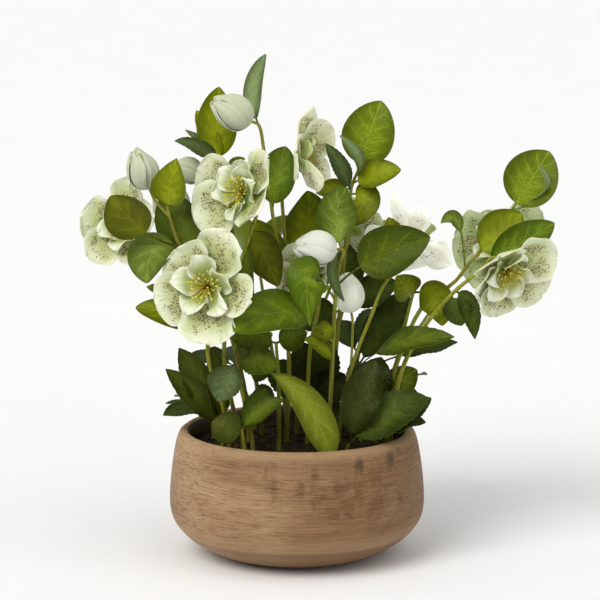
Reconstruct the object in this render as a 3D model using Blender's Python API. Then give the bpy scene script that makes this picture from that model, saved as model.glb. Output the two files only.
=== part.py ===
"""Potted hellebore: a low turned wooden bowl of compost with flowering stems and divided basal leaves.

Lengths in the tables below are millimetres. X runs to the right, Y to the back and Z up from the
surface that the bowl stands on, with the origin under the bowl's middle.
"""

import math
import random
from dataclasses import dataclass

import bmesh
import bpy
from mathutils import Matrix, Vector

MM = 0.001

# Gap between separate pieces
CLEAR = 0.3

# Bowl: radius and height along its outer side from the foot to the rim, then down its inner side
BOWL_HEIGHT = 100.0
BOWL_SIDES = 30
BOWL_OUTSIDE = (
    (44, 0), (54, 1.4), (69, 6), (84, 14.5), (93, 23), (98.3, 32), (100, 44),
    (98.6, 66), (95, 89), (92, 97.5), (88.5, BOWL_HEIGHT),
)
BOWL_INSIDE = ((84.6, 97.5), (84, 89), (90, 50), (82, 25), (45, 9.5))
BOWL_FLOOR = 9.0

# Compost
SOIL_SIDES = 16
SOIL_EDGE_HEIGHT = 87.0
SOIL_MOUND = 3.5
SOIL_LUMP = 1.2
SOIL_RINGS = (0.3, 0.65)
SOIL_INSET = 0.9
HOLE_FLOOR = 70.0
HOLE_SIDES = 4

# Stems
STEM_SIDES = 5
STEM_RADIUS = 1.9
STEM_TIP_SHARE = 0.62
STEM_COLLAR = 92.0
STEM_STEP = 38.0
STALK_STEP = 22.0
FLOWER_NECK = 14.0
BUD_NECK = 7.0

# Leaves
LEAF_THICK = 0.9
LEAF_ROWS = 4
SHORT_LEAF = 52.0
LONG_LEAF = 70.0
TOOTH = 0.07
TIP_HALF_WIDTH = 0.45
STALK_HALF_WIDTH = 0.8

# Flowers
PETAL_THICK = 0.8
INNER_WIDTH = 0.54
PETAL_START = (3.4, 1.8)
PETAL_STATIONS = (0, 0.33, 0.72, 1)
PETAL_LEAN = 9
PETAL_BULGE = 0.16
INNER_START = (4.2, 2.7)
INNER_STATIONS = (0, 0.6, 1)
INNER_LEAN = -14
INNER_BULGE = 0.2
STAMENS = 7
STAMEN_RADIUS = 0.9
CORE_PROFILE = ((3, 0), (6.4, 1.3), (6, 3.2))
CORE_SIDES = 6
BUD_STATIONS = (0.1, 0.3, 0.55, 0.8, 0.96)
BUD_PETALS = 5
BUD_STEPS = 2

GREEN = ("leaf_green", (0.13, 0.18, 0.02), 0.45)
DARK = ("leaf_dark", (0.035, 0.06, 0.012), 0.4)
PETAL = ("petal", (0.66, 0.74, 0.46), 0.5)
STAMEN = ("stamen", (0.62, 0.50, 0.05), 0.6)
BUD = ("bud", (0.78, 0.80, 0.68), 0.5)
WOOD = ("bowl_wood", (0.30, 0.18, 0.09), 0.6)
SOIL = ("compost", (0.022, 0.016, 0.008), 0.95)


@dataclass
class Leaf:
    """A blade that grows from a stem.

    at is the share of the stem's length where it starts and tip is where it ends. face is the way
    that its upper side looks, via bends its midrib and stalk is the share of it that is bare. fat is
    where it is widest, as a share of the blade, for a leaf that differs from the rest.
    """

    at: float
    tip: tuple
    width: float
    face: tuple
    via: tuple = None
    stalk: float = 0.12
    arch: float = 0.12
    cup: float = 0.22
    toothed: bool = False
    fat: float = 0.0


@dataclass
class Branch:
    """A side stalk: where it leaves its stem, the points that it runs through, and what it carries."""

    at: float
    route: tuple
    leaves: tuple = ()
    flower: str = None


@dataclass
class Stem:
    """A stem from its foot in the compost: the points that it runs through and what it carries."""

    name: str
    route: tuple
    leaves: tuple = ()
    branches: tuple = ()
    flower: str = None
    finish: tuple = GREEN
    radius: float = STEM_RADIUS


@dataclass
class Flower:
    """An open flower: its seat at its stalk's end, the way it looks and how far it spreads.

    Each of its petals is an angle, a reach, a rise and a width. The angle is clockwise from the top for
    someone who faces the flower. The reach is how far the tip is from the flower's axis, and the rise is
    how far it stands above the seat.
    """

    name: str
    seat: tuple
    looks: tuple
    spread: float
    petals: tuple


@dataclass
class BudShape:
    """A closed flower: its seat, the way it points, its length and its width."""

    name: str
    seat: tuple
    looks: tuple
    length: float
    width: float


FLOWERS = (
    Flower(
        "front_left", (-65, -68, 223), (-0.36, -0.92, 0.10), 42,
        ((22, 45, 12, 44), (101, 40, 14, 34), (177, 43, 10, 44), (248, 42, 12, 43), (317, 37, 9, 44)),
    ),
    Flower(
        "upper_left", (-38, -45, 290), (-0.68, -0.68, 0.24), 39,
        ((43, 38, 10, 38), (117, 37, 20, 38), (236, 42, 18, 46), (288, 43, 16, 38), (345, 25, 8, 28)),
    ),
    Flower(
        "far_left", (-131, 4, 259), (-0.28, -0.95, 0.10), 36,
        ((2, 38, 10, 29), (70, 25, 12, 34), (155, 30, 10, 33), (229, 38, 12, 32), (280, 35, 13, 40)),
    ),
    Flower(
        "top", (1, 8, 306), (0.94, -0.30, 0.18), 35,
        ((3, 43, 19, 29), (44, 34, 25, 34), (115, 26, 17, 28), (238, 27, 25, 25), (290, 36, 11, 37)),
    ),
    Flower(
        "right", (156, -50, 234), (0.45, -0.75, -0.48), 38,
        ((66, 42, 10, 43), (117, 42, 12, 39), (185, 37, 12, 42), (249, 31, 14, 37), (316, 36, 18, 42)),
    ),
    Flower(
        "right_behind", (160, 34, 240), (-0.22, -0.94, 0.22), 36,
        ((50, 42, 8, 36), (120, 38, 8, 38), (205, 40, 8, 37), (276, 36, 8, 48), (335, 28, 8, 36)),
    ),
    Flower(
        "mid_right", (86, -2, 245), (0.12, 0.82, 0.56), 36,
        (
            (13, 44, 12, 12), (95, 34, 10, 34), (150, 32, 10, 34), (208, 34, 12, 42), (235, 38, 2, 24),
            (338, 31, 10, 20),
        ),
    ),
    Flower(
        "centre", (10, -10, 222), (-0.45, -0.85, 0.3), 25,
        ((35, 25, 12, 28), (105, 20, 10, 24), (180, 22, 10, 26), (250, 25, 12, 28), (325, 26, 12, 28)),
    ),
    Flower(
        "behind", (45, 44, 249), (0.45, 0.75, 0.45), 27,
        ((20, 28, 8, 30), (90, 26, 9, 30), (165, 28, 8, 30), (235, 25, 9, 29), (305, 24, 9, 28)),
    ),
)

BUDS = (
    BudShape("top", (-35, -4, 341), (-0.84, -0.25, 0.48), 35, 28),
    BudShape("far_left", (-113, -12, 290), (-0.36, -0.08, 0.93), 33, 25),
    BudShape("upper_left", (-74, 14, 301), (-0.95, -0.28, 0.06), 24, 22),
    BudShape("centre", (29, -35, 246), (-0.88, -0.40, 0.14), 34, 28),
    BudShape("low", (42, -12, 194), (-0.16, -0.1, 0.97), 32, 25),
    BudShape("left_behind", (-98, 36, 258), (-0.1, 0.1, 0.98), 34, 30),
)

STEMS = (
    Stem(
        "stem_front_left",
        ((-52, -34), (-57, -36, 125), (-68, -50, 170)),
        flower="front_left",
        leaves=(
            Leaf(0.70, (-123, -38, 202), 24, (-0.2, -0.7, 0.7)),
            Leaf(0.78, (-115, -26, 216), 15, (-0.2, -0.7, 0.7)),
        ),
    ),
    Stem(
        "stem_upper_left",
        ((-42, -22), (-50, -25, 123), (-56, -30, 165), (-50, -34, 215), (-34, -36, 262)),
        flower="upper_left",
        leaves=(
            Leaf(0.84, (-14, -24, 216), 28, (0.2, -0.9, 0.3), via=(-30, -22, 248)),
            Leaf(0.80, (-34, -22, 200), 14, (-0.4, -0.8, 0.3)),
        ),
    ),
    Stem(
        "stem_far_left",
        ((-38, 0), (-44, -3, 147), (-63, -14, 204), (-90, -26, 248), (-99, -28, 278)),
        leaves=(
            Leaf(0.99, (-91, -36, 316), 28, (-0.25, -0.95, 0.1), fat=0.36),
            Leaf(0.76, (-102, -2, 285), 36, (0.1, -0.95, 0.3)),
            Leaf(0.84, (-113, -60, 224), 43, (-0.45, -0.75, 0.5), via=(-114, -46, 262), cup=0.1, fat=0.5),
            Leaf(0.86, (-140, -58, 290), 37, (-0.2, -0.97, -0.1), via=(-113, -56, 253), stalk=0.5, fat=0.5),
        ),
        branches=(
            Branch(0.78, ((-108, -2, 246),), flower="far_left"),
            Branch(0.96, ((-108, -20, 281),), flower="far_left_bud"),
        ),
    ),
    Stem(
        "stem_back_left",
        ((-28, 20), (-35, 22, 150), (-45, 22, 220), (-56, 17, 290), (-58, 15, 308)),
        leaves=(
            Leaf(0.99, (-60, 12, 366), 31, (0.1, -0.97, 0.1), via=(-66, 10, 332)),
            Leaf(0.99, (-78, 20, 347), 15, (0.1, -0.9, 0.1)),
            Leaf(0.99, (-86, 8, 333), 10, (0, -0.5, 0.85), arch=0.04),
            Leaf(0.97, (-94, -4, 326), 18, (0.1, -0.6, 0.8), toothed=True),
            Leaf(0.94, (-40, 4, 311), 15, (0, -0.5, 0.85)),
            Leaf(0.80, (-64, 56, 296), 28, (-0.3, 0.7, 0.6)),
            Leaf(0.70, (-84, 8, 270), 24, (-0.2, -0.9, 0.3)),
        ),
        branches=(
            Branch(0.93, ((-64, 17, 301),), flower="upper_left_bud"),
            Branch(0.56, ((-66, 30, 222), (-90, 38, 238)), flower="left_behind_bud"),
        ),
    ),
    Stem(
        "stem_top",
        ((-8, -12), (-6, -10, 150), (-12, -2, 220), (-20, 0, 277), (-26, 0, 322)),
        flower="top_bud",
        leaves=(
            Leaf(0.97, (-24, 14, 391), 16, (-0.4, -0.9, 0.1), via=(-41, 18, 362)),
            Leaf(0.73, (-9, 12, 320), 30, (-0.2, -0.95, 0.2)),
        ),
    ),
    Stem(
        "stem_top_centre",
        ((0, 26), (-2, 25, 160), (-8, 18, 230), (-12, 14, 284)),
        flower="top",
        leaves=(
            Leaf(0.64, (8, 22, 284), 36, (0, -0.97, 0.2), via=(16, 22, 254)),
            Leaf(0.60, (-34, 18, 262), 26, (-0.2, -0.95, 0.2)),
        ),
    ),
    Stem(
        "stem_tall_leaf",
        ((26, 12), (30, 12, 150), (36, 10, 220), (42, 6, 287), (48, 8, 303)),
        leaves=(
            Leaf(0.99, (65, 4, 356), 41, (-0.1, -0.97, 0.2)),
            Leaf(0.97, (33, -14, 331), 11, (0.5, -0.8, 0.2), via=(56, -16, 312)),
            Leaf(0.93, (15, -7, 286), 18, (0, -0.8, 0.6), arch=0.05),
            Leaf(0.95, (80, -8, 304), 23, (0, -0.85, 0.5)),
            Leaf(0.91, (42, -6, 260), 28, (-0.1, -0.95, 0.1), via=(60, -2, 288)),
            Leaf(0.86, (28, 8, 254), 24, (0, -0.9, 0.2), via=(28, 12, 284)),
            Leaf(0.92, (22, -6, 324), 14, (0.3, -0.9, 0.2), toothed=True),
        ),
        branches=(Branch(0.72, ((41, 26, 245),), flower="behind"),),
    ),
    Stem(
        "stem_centre_bud",
        ((24, -22), (26, -22, 126), (28, -24, 172), (30, -27, 214), (33, -31, 236)),
        flower="centre_bud",
        leaves=(
            Leaf(0.97, (38, -30, 293), 32, (-0.25, -0.95, 0.2), via=(24, -14, 270), cup=-0.2),
            Leaf(0.80, (101, -46, 257), 40, (0, -0.93, 0.37), via=(48, -38, 240), stalk=0.37),
            Leaf(0.52, (-47, -88, 192), 38, (-0.05, -0.8, 0.6), via=(4, -62, 224), stalk=0.3, fat=0.56),
            Leaf(0.74, (10, -62, 192), 34, (0, -0.95, 0.2), via=(0, -79, 262), cup=-0.2, stalk=0.3, fat=0.36),
            Leaf(0.97, (36, -46, 208), 10, (0.5, -0.8, 0.3), via=(18, -44, 232)),
            Leaf(0.62, (14, -36, 180), 16, (0.1, -0.95, 0.3)),
            Leaf(0.48, (6, -42, 178), 17, (0, -0.7, 0.7)),
        ),
    ),
    Stem(
        "stem_mid_right",
        ((33, -8), (39, -12, 137), (47, -14, 164), (57, -15, 190), (67, -15, 215)),
        flower="mid_right",
        leaves=(Leaf(0.90, (70, -22, 269), 20, (0, -0.95, 0.2)),),
        branches=(Branch(0.40, ((43, -12, 172),), flower="low_bud"),),
        radius=1.7,
    ),
    Stem(
        "stem_olive_right",
        ((54, 30), (76, 24, 139), (86, 12, 185), (91, 2, 208)),
        leaves=(
            Leaf(0.97, (77, -12, 222), 24, (0, -0.95, 0.2)),
            Leaf(0.99, (112, -18, 184), 27, (-0.2, -0.9, 0.3), via=(112, -22, 214)),
        ),
    ),
    Stem(
        "stem_right",
        ((73, -14), (81, -16, 147), (99, -22, 185), (120, -30, 212), (140, -34, 230)),
        flower="right",
        leaves=(
            Leaf(0.88, (197, -24, 265), 28, (-0.1, -0.92, 0.35), arch=0.06),
            Leaf(0.72, (126, -40, 188), 22, (0, -0.95, 0.3), toothed=True),
            Leaf(0.74, (136, -42, 178), 16, (0, -0.95, 0.3), via=(133, -38, 212), toothed=True),
        ),
    ),
    Stem(
        "stem_right_leaves",
        ((62, 0), (76, 2, 144), (97, -4, 196), (122, -14, 218), (132, -17, 232), (140, -18, 240)),
        leaves=(
            Leaf(0.99, (173, -12, 271), 34, (-0.3, -0.9, 0.3), arch=0.06),
            Leaf(0.92, (110, -32, 266), 11, (0.3, -0.9, 0.2), via=(126, -28, 284), stalk=0.35),
        ),
        branches=(
            Branch(
                0.97, ((152, -12, 258), (166, -8, 273)),
                leaves=(
                    Leaf(0.99, (194, -6, 318), 42, (-0.1, -0.97, 0.2)),
                    Leaf(0.98, (184, -22, 309), 10, (0.7, -0.6, 0.2), via=(206, -22, 286)),
                ),
            ),
            Branch(0.46, ((106, 20, 190), (128, 42, 212)), flower="right_behind"),
        ),
    ),
    Stem(
        "stem_centre",
        ((8, -16), (10, -14, 163), (17, -13, 200)),
        flower="centre",
    ),
    Stem(
        "stem_rear_left",
        ((-8, 50), (-20, 56, 150), (-30, 60, 215)),
        leaves=(
            Leaf(0.99, (-62, 74, 262), 30, (-0.2, 0.5, 0.8)),
            Leaf(0.96, (-6, 84, 256), 32, (0.1, 0.6, 0.8)),
            Leaf(0.93, (-36, 96, 226), 26, (0, 0.5, 0.85)),
        ),
    ),
    Stem(
        "stem_rear_right",
        ((6, 66), (10, 80, 150), (30, 86, 205)),
        leaves=(
            Leaf(0.99, (84, 78, 234), 30, (0.1, 0.4, 0.9)),
            Leaf(0.97, (48, 124, 224), 30, (0, 0.5, 0.85)),
            Leaf(0.93, (2, 108, 214), 24, (-0.2, 0.4, 0.9)),
        ),
    ),
    Stem(
        "frond_left",
        ((-58, -12), (-60, -14, 106)),
        finish=DARK,
        leaves=(
            Leaf(0.99, (-91, -20, 167), 25, (0.1, -0.95, 0.3), toothed=True),
            Leaf(0.94, (-101, -28, 152), 20, (0.1, -0.9, 0.4), toothed=True),
            Leaf(0.97, (-66, -22, 168), 20, (0.3, -0.9, 0.2), toothed=True),
        ),
    ),
    Stem(
        "frond_over_rim",
        ((-66, 12), (-70, 8, 108)),
        finish=DARK,
        leaves=(
            Leaf(0.99, (-104, -16, 113), 20, (0, -0.45, 0.9), toothed=True),
            Leaf(0.94, (-98, 42, 116), 17, (0, 0.2, 0.97), toothed=True),
            Leaf(0.97, (-104, 20, 115), 14, (0, -0.2, 0.97), toothed=True),
        ),
    ),
    Stem(
        "frond_front_left",
        ((-34, -44), (-42, -50, 140), (-46, -52, 163)),
        finish=DARK,
        leaves=(
            Leaf(0.99, (-60, -64, 134), 27, (-0.2, -0.95, 0.2), toothed=True),
            Leaf(0.99, (-14, -62, 160), 24, (0, -0.8, 0.6), toothed=True),
            Leaf(0.97, (25, -69, 93), 27, (0.3, -0.85, 0.3), via=(8, -64, 158), stalk=0.25, fat=0.68),
        ),
    ),
    Stem(
        "frond_centre_left",
        ((-14, -30), (-14, -31, 140), (-16, -32, 174)),
        finish=DARK,
        leaves=(
            Leaf(0.99, (-50, -42, 178), 24, (0, -0.85, 0.5), toothed=True),
            Leaf(0.99, (8, -36, 182), 22, (0, -0.9, 0.3), toothed=True),
            Leaf(0.8, (-36, -24, 156), 28, (0, -0.95, 0.3), toothed=True),
            Leaf(0.5, (-36, -14, 128), 24, (0, -0.95, 0.3), toothed=True),
        ),
    ),
    Stem(
        "frond_low_left",
        ((-40, -52), (-42, -52, 110)),
        finish=DARK,
        leaves=(
            Leaf(0.99, (-10, -56, 134), 18, (0.1, -0.6, 0.8), toothed=True),
            Leaf(0.85, (-65, -50, 115), 26, (0.1, -0.9, 0.4)),
            Leaf(0.94, (-24, -44, 140), 18, (0.1, -0.9, 0.4), toothed=True),
        ),
    ),
    Stem(
        "frond_middle",
        ((14, 10), (15, 10, 126)),
        finish=DARK,
        leaves=(
            Leaf(0.99, (2, 12, 166), 29, (0, -0.97, 0.2), toothed=True),
            Leaf(0.97, (24, 6, 170), 27, (0.1, -0.97, 0.2), toothed=True),
            Leaf(0.92, (-24, 12, 148), 30, (0, -0.95, 0.3), toothed=True),
            Leaf(0.90, (38, 2, 142), 28, (0, -0.95, 0.3), toothed=True),
            Leaf(0.55, (42, 3, 114), 25, (0, -0.95, 0.3), toothed=True),
        ),
    ),
    Stem(
        "frond_low_right",
        ((38, -48), (40, -49, 98)),
        finish=DARK,
        leaves=(
            Leaf(0.99, (99, -46, 134), 35, (-0.3, -0.8, 0.5), toothed=True),
            Leaf(0.99, (60, -42, 162), 30, (-0.2, -0.95, 0.3), toothed=True),
        ),
    ),
    Stem(
        "frond_right",
        ((68, -32), (70, -32, 102)),
        finish=DARK,
        leaves=(
            Leaf(0.99, (104, -22, 128), 22, (-0.2, -0.7, 0.7), toothed=True),
            Leaf(0.94, (99, -42, 113), 20, (0, -0.4, 0.9), toothed=True),
        ),
    ),
    Stem(
        "frond_right_olive",
        ((66, 14), (71, 12, 124)),
        finish=DARK,
        leaves=(
            Leaf(0.99, (94, 6, 145), 25, (0, -0.9, 0.4)),
            Leaf(0.9, (96, 10, 124), 20, (0, -0.6, 0.8), toothed=True),
            Leaf(0.99, (104, 40, 134), 20, (0, 0.2, 0.97), toothed=True),
        ),
    ),
    Stem(
        "frond_upright",
        ((50, 0), (51, 0, 116)),
        finish=DARK,
        leaves=(
            Leaf(0.99, (66, 0, 156), 32, (0, -0.97, 0.1), toothed=True),
            Leaf(0.95, (45, 6, 154), 20, (0.1, -0.97, 0.1), toothed=True),
            Leaf(0.8, (74, -6, 116), 24, (0, -0.9, 0.3), toothed=True),
        ),
    ),
    Stem(
        "frond_large_right",
        ((46, 20), (48, 16, 146)),
        finish=DARK,
        leaves=(
            Leaf(0.99, (89, 34, 203), 30, (-0.3, -0.8, 0.5), arch=0.03, toothed=True),
            Leaf(0.97, (120, -44, 180), 24, (0, -0.7, 0.7), via=(66, -34, 178), stalk=0.3, toothed=True),
            Leaf(0.93, (126, 10, 166), 18, (0, -0.5, 0.85), via=(84, 8, 160), stalk=0.45, toothed=True),
        ),
    ),
    Stem(
        "frond_tall_dark",
        ((14, 34), (26, 34, 150), (38, 28, 194)),
        finish=DARK,
        leaves=(
            Leaf(0.99, (79, 22, 212), 26, (0, -0.9, 0.4), toothed=True),
            Leaf(0.99, (40, 26, 242), 27, (0, -0.95, 0.1), toothed=True),
            Leaf(0.95, (-2, 32, 180), 28, (0, -0.9, 0.3), toothed=True),
        ),
    ),
    Stem(
        "frond_back_left",
        ((-34, 46), (-44, 54, 124), (-50, 58, 138)),
        finish=DARK,
        leaves=(
            Leaf(0.99, (-90, 64, 142), 24, (0, -0.3, 0.95), toothed=True),
            Leaf(0.99, (-62, 96, 144), 24, (0, 0.1, 0.97), toothed=True),
            Leaf(0.98, (-22, 98, 158), 24, (0.2, 0, 0.95), toothed=True),
        ),
    ),
    Stem(
        "frond_back_right",
        ((40, 50), (46, 56, 130), (50, 58, 148)),
        finish=DARK,
        leaves=(
            Leaf(0.99, (96, 62, 166), 24, (0, -0.3, 0.95), toothed=True),
            Leaf(0.99, (68, 104, 176), 24, (0, -0.3, 0.95), toothed=True),
            Leaf(0.98, (20, 98, 168), 24, (-0.2, 0, 0.95), toothed=True),
        ),
    ),
)


def linked(name, mesh):
    """A new object for the mesh, linked to the scene."""
    made = bpy.data.objects.new(name, mesh)
    bpy.context.scene.collection.objects.link(made)
    return made


def mesh_from(name, points, faces):
    """A mesh of points in millimetres, its faces turned outwards."""
    mesh = bpy.data.meshes.new(name)
    mesh.from_pydata([Vector(p) * MM for p in points], [], faces)
    work = bmesh.new()
    work.from_mesh(mesh)
    bmesh.ops.recalc_face_normals(work, faces=work.faces)
    work.to_mesh(mesh)
    work.free()
    return mesh


def skinned(name, start, rings, end):
    """A closed solid over rings of points, drawn in to one point at each end."""
    points = [start] + [p for ring in rings for p in ring] + [end]
    sides = len(rings[0])
    last = len(points) - 1
    faces = []
    for k in range(sides):
        after = (k + 1) % sides
        faces.append((0, 1 + after, 1 + k))
        for i in range(len(rings) - 1):
            low, high = 1 + i * sides, 1 + (i + 1) * sides
            faces.append((low + k, low + after, high + after))
            faces.append((low + k, high + after, high + k))
        faces.append((last - sides + k, last - sides + after, last))
    return mesh_from(name, points, faces)


def turned(name, base, profile, top, sides, rise=None):
    """A solid turned about Z: the height of its base, (radius, height) points, and the height of its top."""
    rings = []
    for radius, height in profile:
        ring = []
        for k in range(sides):
            angle = math.tau * k / sides
            x, y = radius * math.cos(angle), radius * math.sin(angle)
            ring.append((x, y, height + (rise(x, y, height) if rise else 0)))
        rings.append(ring)
    return skinned(name, (0, 0, base), rings, (0, 0, top))


def tube(name, line, radius, end_radius):
    """A round bar along a line of points, thinner towards its end."""
    rings = []
    last = len(line) - 1
    side = None
    for k, place in enumerate(line):
        axis = (line[min(k + 1, last)] - line[max(k - 1, 0)]).normalized()
        side = side or axis.orthogonal()
        side = (side - axis * side.dot(axis)).normalized()
        other = axis.cross(side)
        width = radius + (end_radius - radius) * k / last
        angles = [math.tau * j / STEM_SIDES for j in range(STEM_SIDES)]
        rings.append([place + (side * math.cos(a) + other * math.sin(a)) * width for a in angles])
    return skinned(name, line[0], rings, line[-1])


def blade(name, middle, face, stations, bulge, thick):
    """A thin solid along a midrib, split into triangles alike on both faces.

    middle gives the midrib's point at u and face the way that its upper side looks. stations are
    (u, half width) pairs and bulge is how far the edges stand above the midrib, as a share of the
    half width.
    """
    step = 1e-3
    top, bottom = [], []
    for u, half in stations:
        along = (middle(min(1, u + step)) - middle(max(0, u - step))).normalized()
        normal = (face - along * face.dot(along)).normalized()
        side = along.cross(normal)
        for v in (-1, 0, 1):
            place = middle(u) + side * (v * half) + normal * (bulge * half * v * v)
            top.append(place + normal * thick / 2)
            bottom.append(place - normal * thick / 2)
    rows = len(stations) - 1
    count = len(top)
    faces = []
    for i in range(rows):
        for j in range(2):
            a, b = 3 * i + j, 3 * i + j + 1
            c, d = b + 3, a + 3
            halves = ((a, b, d), (b, c, d)) if j else ((a, b, c), (a, c, d))
            for p, q, r in halves:
                faces.append((p, q, r))
                faces.append((r + count, q + count, p + count))
    edge = [0, 1, 2] + [3 * i + 2 for i in range(1, rows + 1)]
    edge += [3 * rows + 1, 3 * rows] + [3 * i for i in range(rows - 1, 0, -1)]
    for p, q in zip(edge, edge[1:] + edge[:1]):
        faces.append((p, p + count, q + count))
        faces.append((p, q + count, q))
    return mesh_from(name, top + bottom, faces)


def hermite(a, b, slope_a, slope_b, t):
    """The point at t of a smooth curve from a to b."""
    start = a * (2 * t**3 - 3 * t**2 + 1) + slope_a * (t**3 - 2 * t**2 + t)
    return start + b * (3 * t**2 - 2 * t**3) + slope_b * (t**3 - t**2)


def smooth_line(stops, step, first_slope=None):
    """Points every step or so along a smooth curve through the stops."""
    last = len(stops) - 1
    slopes = [stops[min(i + 1, last)] - stops[max(i - 1, 0)] for i in range(last + 1)]
    if first_slope:
        slopes[0] = first_slope
    line = [stops[0]]
    for i in range(last):
        reach = (stops[i + 1] - stops[i]).length
        parts = max(1, round(reach / step))
        leave, arrive = slopes[i].normalized() * reach, slopes[i + 1].normalized() * reach
        line += [hermite(stops[i], stops[i + 1], leave, arrive, (k + 1) / parts) for k in range(parts)]
    return line


def along_line(line, share):
    """The point at that share of a line's length."""
    lengths = [(b - a).length for a, b in zip(line[:-1], line[1:])]
    left = share * sum(lengths)
    for a, b, length in zip(line[:-1], line[1:], lengths):
        if left <= length:
            return a.lerp(b, left / length)
        left -= length
    return line[-1].copy()


def egg(s, base_power, tip_power):
    """Half width, from 0 to 1, of an egg-shaped outline at share s of its length."""
    widest = base_power / (base_power + tip_power)
    top = widest**base_power * (1 - widest) ** tip_power
    return s**base_power * (1 - s) ** tip_power / top


def bent(a, b, c):
    """A curve from a to c that b draws aside, as a function of u."""
    return lambda u: a * (1 - u) ** 2 + b * (2 * u * (1 - u)) + c * u**2


def leaf_mesh(name, leaf, root):
    """The leaf's blade, from its root on the stem to its tip."""
    tip, face = Vector(leaf.tip), Vector(leaf.face).normalized()
    chord = tip - root
    if leaf.via:
        bend = Vector(leaf.via)
    else:
        flat = (face - chord * face.dot(chord) / chord.length_squared).normalized()
        bend = root.lerp(tip, 0.5) + flat * (2 * leaf.arch * chord.length)
    rows = LEAF_ROWS + (chord.length > LONG_LEAF) - (chord.length < SHORT_LEAF)
    stations = [(0, STALK_HALF_WIDTH)]
    for k in range(rows + 1):
        s = k / rows if leaf.toothed else (1 - math.cos(math.pi * k / rows)) / 2
        notch = 1 + TOOTH * (-1) ** k if leaf.toothed else 1
        powers = (0.75, 0.85) if leaf.toothed else (0.6, 0.75)
        if leaf.fat:
            powers = (1.5 * leaf.fat, 1.5 * (1 - leaf.fat))
        least = TIP_HALF_WIDTH if k == rows else STALK_HALF_WIDTH
        half = max(leaf.width / 2 * egg(s, *powers) * notch, least)
        stations.append((leaf.stalk + (1 - leaf.stalk) * s, half))
    return blade(name, bent(root, bend, tip), face, stations, leaf.cup, LEAF_THICK)


def neck_of(flower):
    """The last two points of a flower's stalk, square to the flower and just short of its seat."""
    if not flower:
        return []
    held = HELD[flower]
    seat, looks = Vector(held.seat), Vector(held.looks).normalized()
    neck = BUD_NECK if isinstance(held, BudShape) else FLOWER_NECK
    return [seat - looks * neck, seat - looks * CLEAR]


def stem_meshes(stem):
    """The meshes of a stem, its side stalks and all their leaves."""
    foot = Vector((*stem.route[0], HOLE_FLOOR + CLEAR))
    collar = Vector((*stem.route[0], STEM_COLLAR))
    stops = [collar] + [Vector(p) for p in stem.route[1:]] + neck_of(stem.flower)
    line = [foot] + smooth_line(stops, STEM_STEP, first_slope=Vector((0, 0, 1)))
    thin = stem.radius * STEM_TIP_SHARE
    meshes = [tube(stem.name, line, stem.radius, thin)]
    for k, leaf in enumerate(stem.leaves):
        meshes.append(leaf_mesh(f"{stem.name}_leaf_{k}", leaf, along_line(line, leaf.at)))
    for branch in stem.branches:
        start = along_line(line, branch.at)
        stalk = smooth_line([start] + [Vector(p) for p in branch.route] + neck_of(branch.flower), STALK_STEP)
        meshes.append(tube(f"{stem.name}_stalk", stalk, thin, thin))
        for k, leaf in enumerate(branch.leaves):
            meshes.append(leaf_mesh(f"{stem.name}_stalk_leaf_{k}", leaf, along_line(stalk, leaf.at)))
    return meshes


def finished(body, finish):
    """Gives the object its material, and smooth shading over its gentle edges."""
    title, colour, roughness = finish
    material = bpy.data.materials.get(title)
    if material is None:
        material = bpy.data.materials.new(title)
        material.use_nodes = True
        shader = material.node_tree.nodes["Principled BSDF"]
        shader.inputs["Base Color"].default_value = (*colour, 1)
        shader.inputs["Roughness"].default_value = roughness
        shader.inputs["Metallic"].default_value = 0
    body.data.materials.clear()
    body.data.materials.append(material)
    body.data.shade_smooth()
    body.data.set_sharp_from_angle(angle=math.radians(40))


def keep_largest(mesh):
    """Drops the scraps that a Boolean can leave beside the main piece."""
    work = bmesh.new()
    work.from_mesh(mesh)
    left = set(work.verts)
    pieces = []
    while left:
        reached = {left.pop()}
        front = list(reached)
        while front:
            near = {edge.other_vert(vertex) for vertex in front for edge in vertex.link_edges}
            front = [vertex for vertex in near if vertex in left]
            left.difference_update(front)
            reached.update(front)
        pieces.append(reached)
    pieces.sort(key=len)
    scraps = [vertex for piece in pieces[:-1] for vertex in piece]
    bmesh.ops.delete(work, geom=scraps, context="VERTS")
    work.to_mesh(mesh)
    work.free()


def combined(body, meshes, operation):
    """Joins meshes to the body, or cuts them from it, in one Boolean, and removes them."""
    tools = bpy.data.collections.new(f"{body.name}_tools")
    bpy.context.scene.collection.children.link(tools)
    for mesh in meshes:
        tools.objects.link(bpy.data.objects.new(mesh.name, mesh))
    change = body.modifiers.new("change", "BOOLEAN")
    change.operation = operation
    change.operand_type = "COLLECTION"
    change.collection = tools
    change.solver = "MANIFOLD"
    graph = bpy.context.evaluated_depsgraph_get()
    body.data = bpy.data.meshes.new_from_object(body.evaluated_get(graph))
    body.modifiers.clear()
    keep_largest(body.data)
    for tool in list(tools.objects):
        bpy.data.objects.remove(tool)
    bpy.data.collections.remove(tools)


def joined(name, meshes, finish):
    """One object from meshes that cross."""
    body = linked(name, meshes[0])
    if len(meshes) > 1:
        combined(body, meshes[1:], "UNION")
    finished(body, finish)


def placing(seat, looks):
    """The matrix, in millimetres, that stands a flower made about +Z on its seat, its +Y side up."""
    return Matrix.Translation(Vector(seat)) @ Vector(looks).to_track_quat("Z", "Y").to_matrix().to_4x4()


def placed(mesh, matrix):
    """Moves a mesh by a matrix whose lengths are millimetres."""
    scale = Matrix.Scale(MM, 4)
    mesh.transform(scale @ matrix @ scale.inverted())
    return mesh


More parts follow.
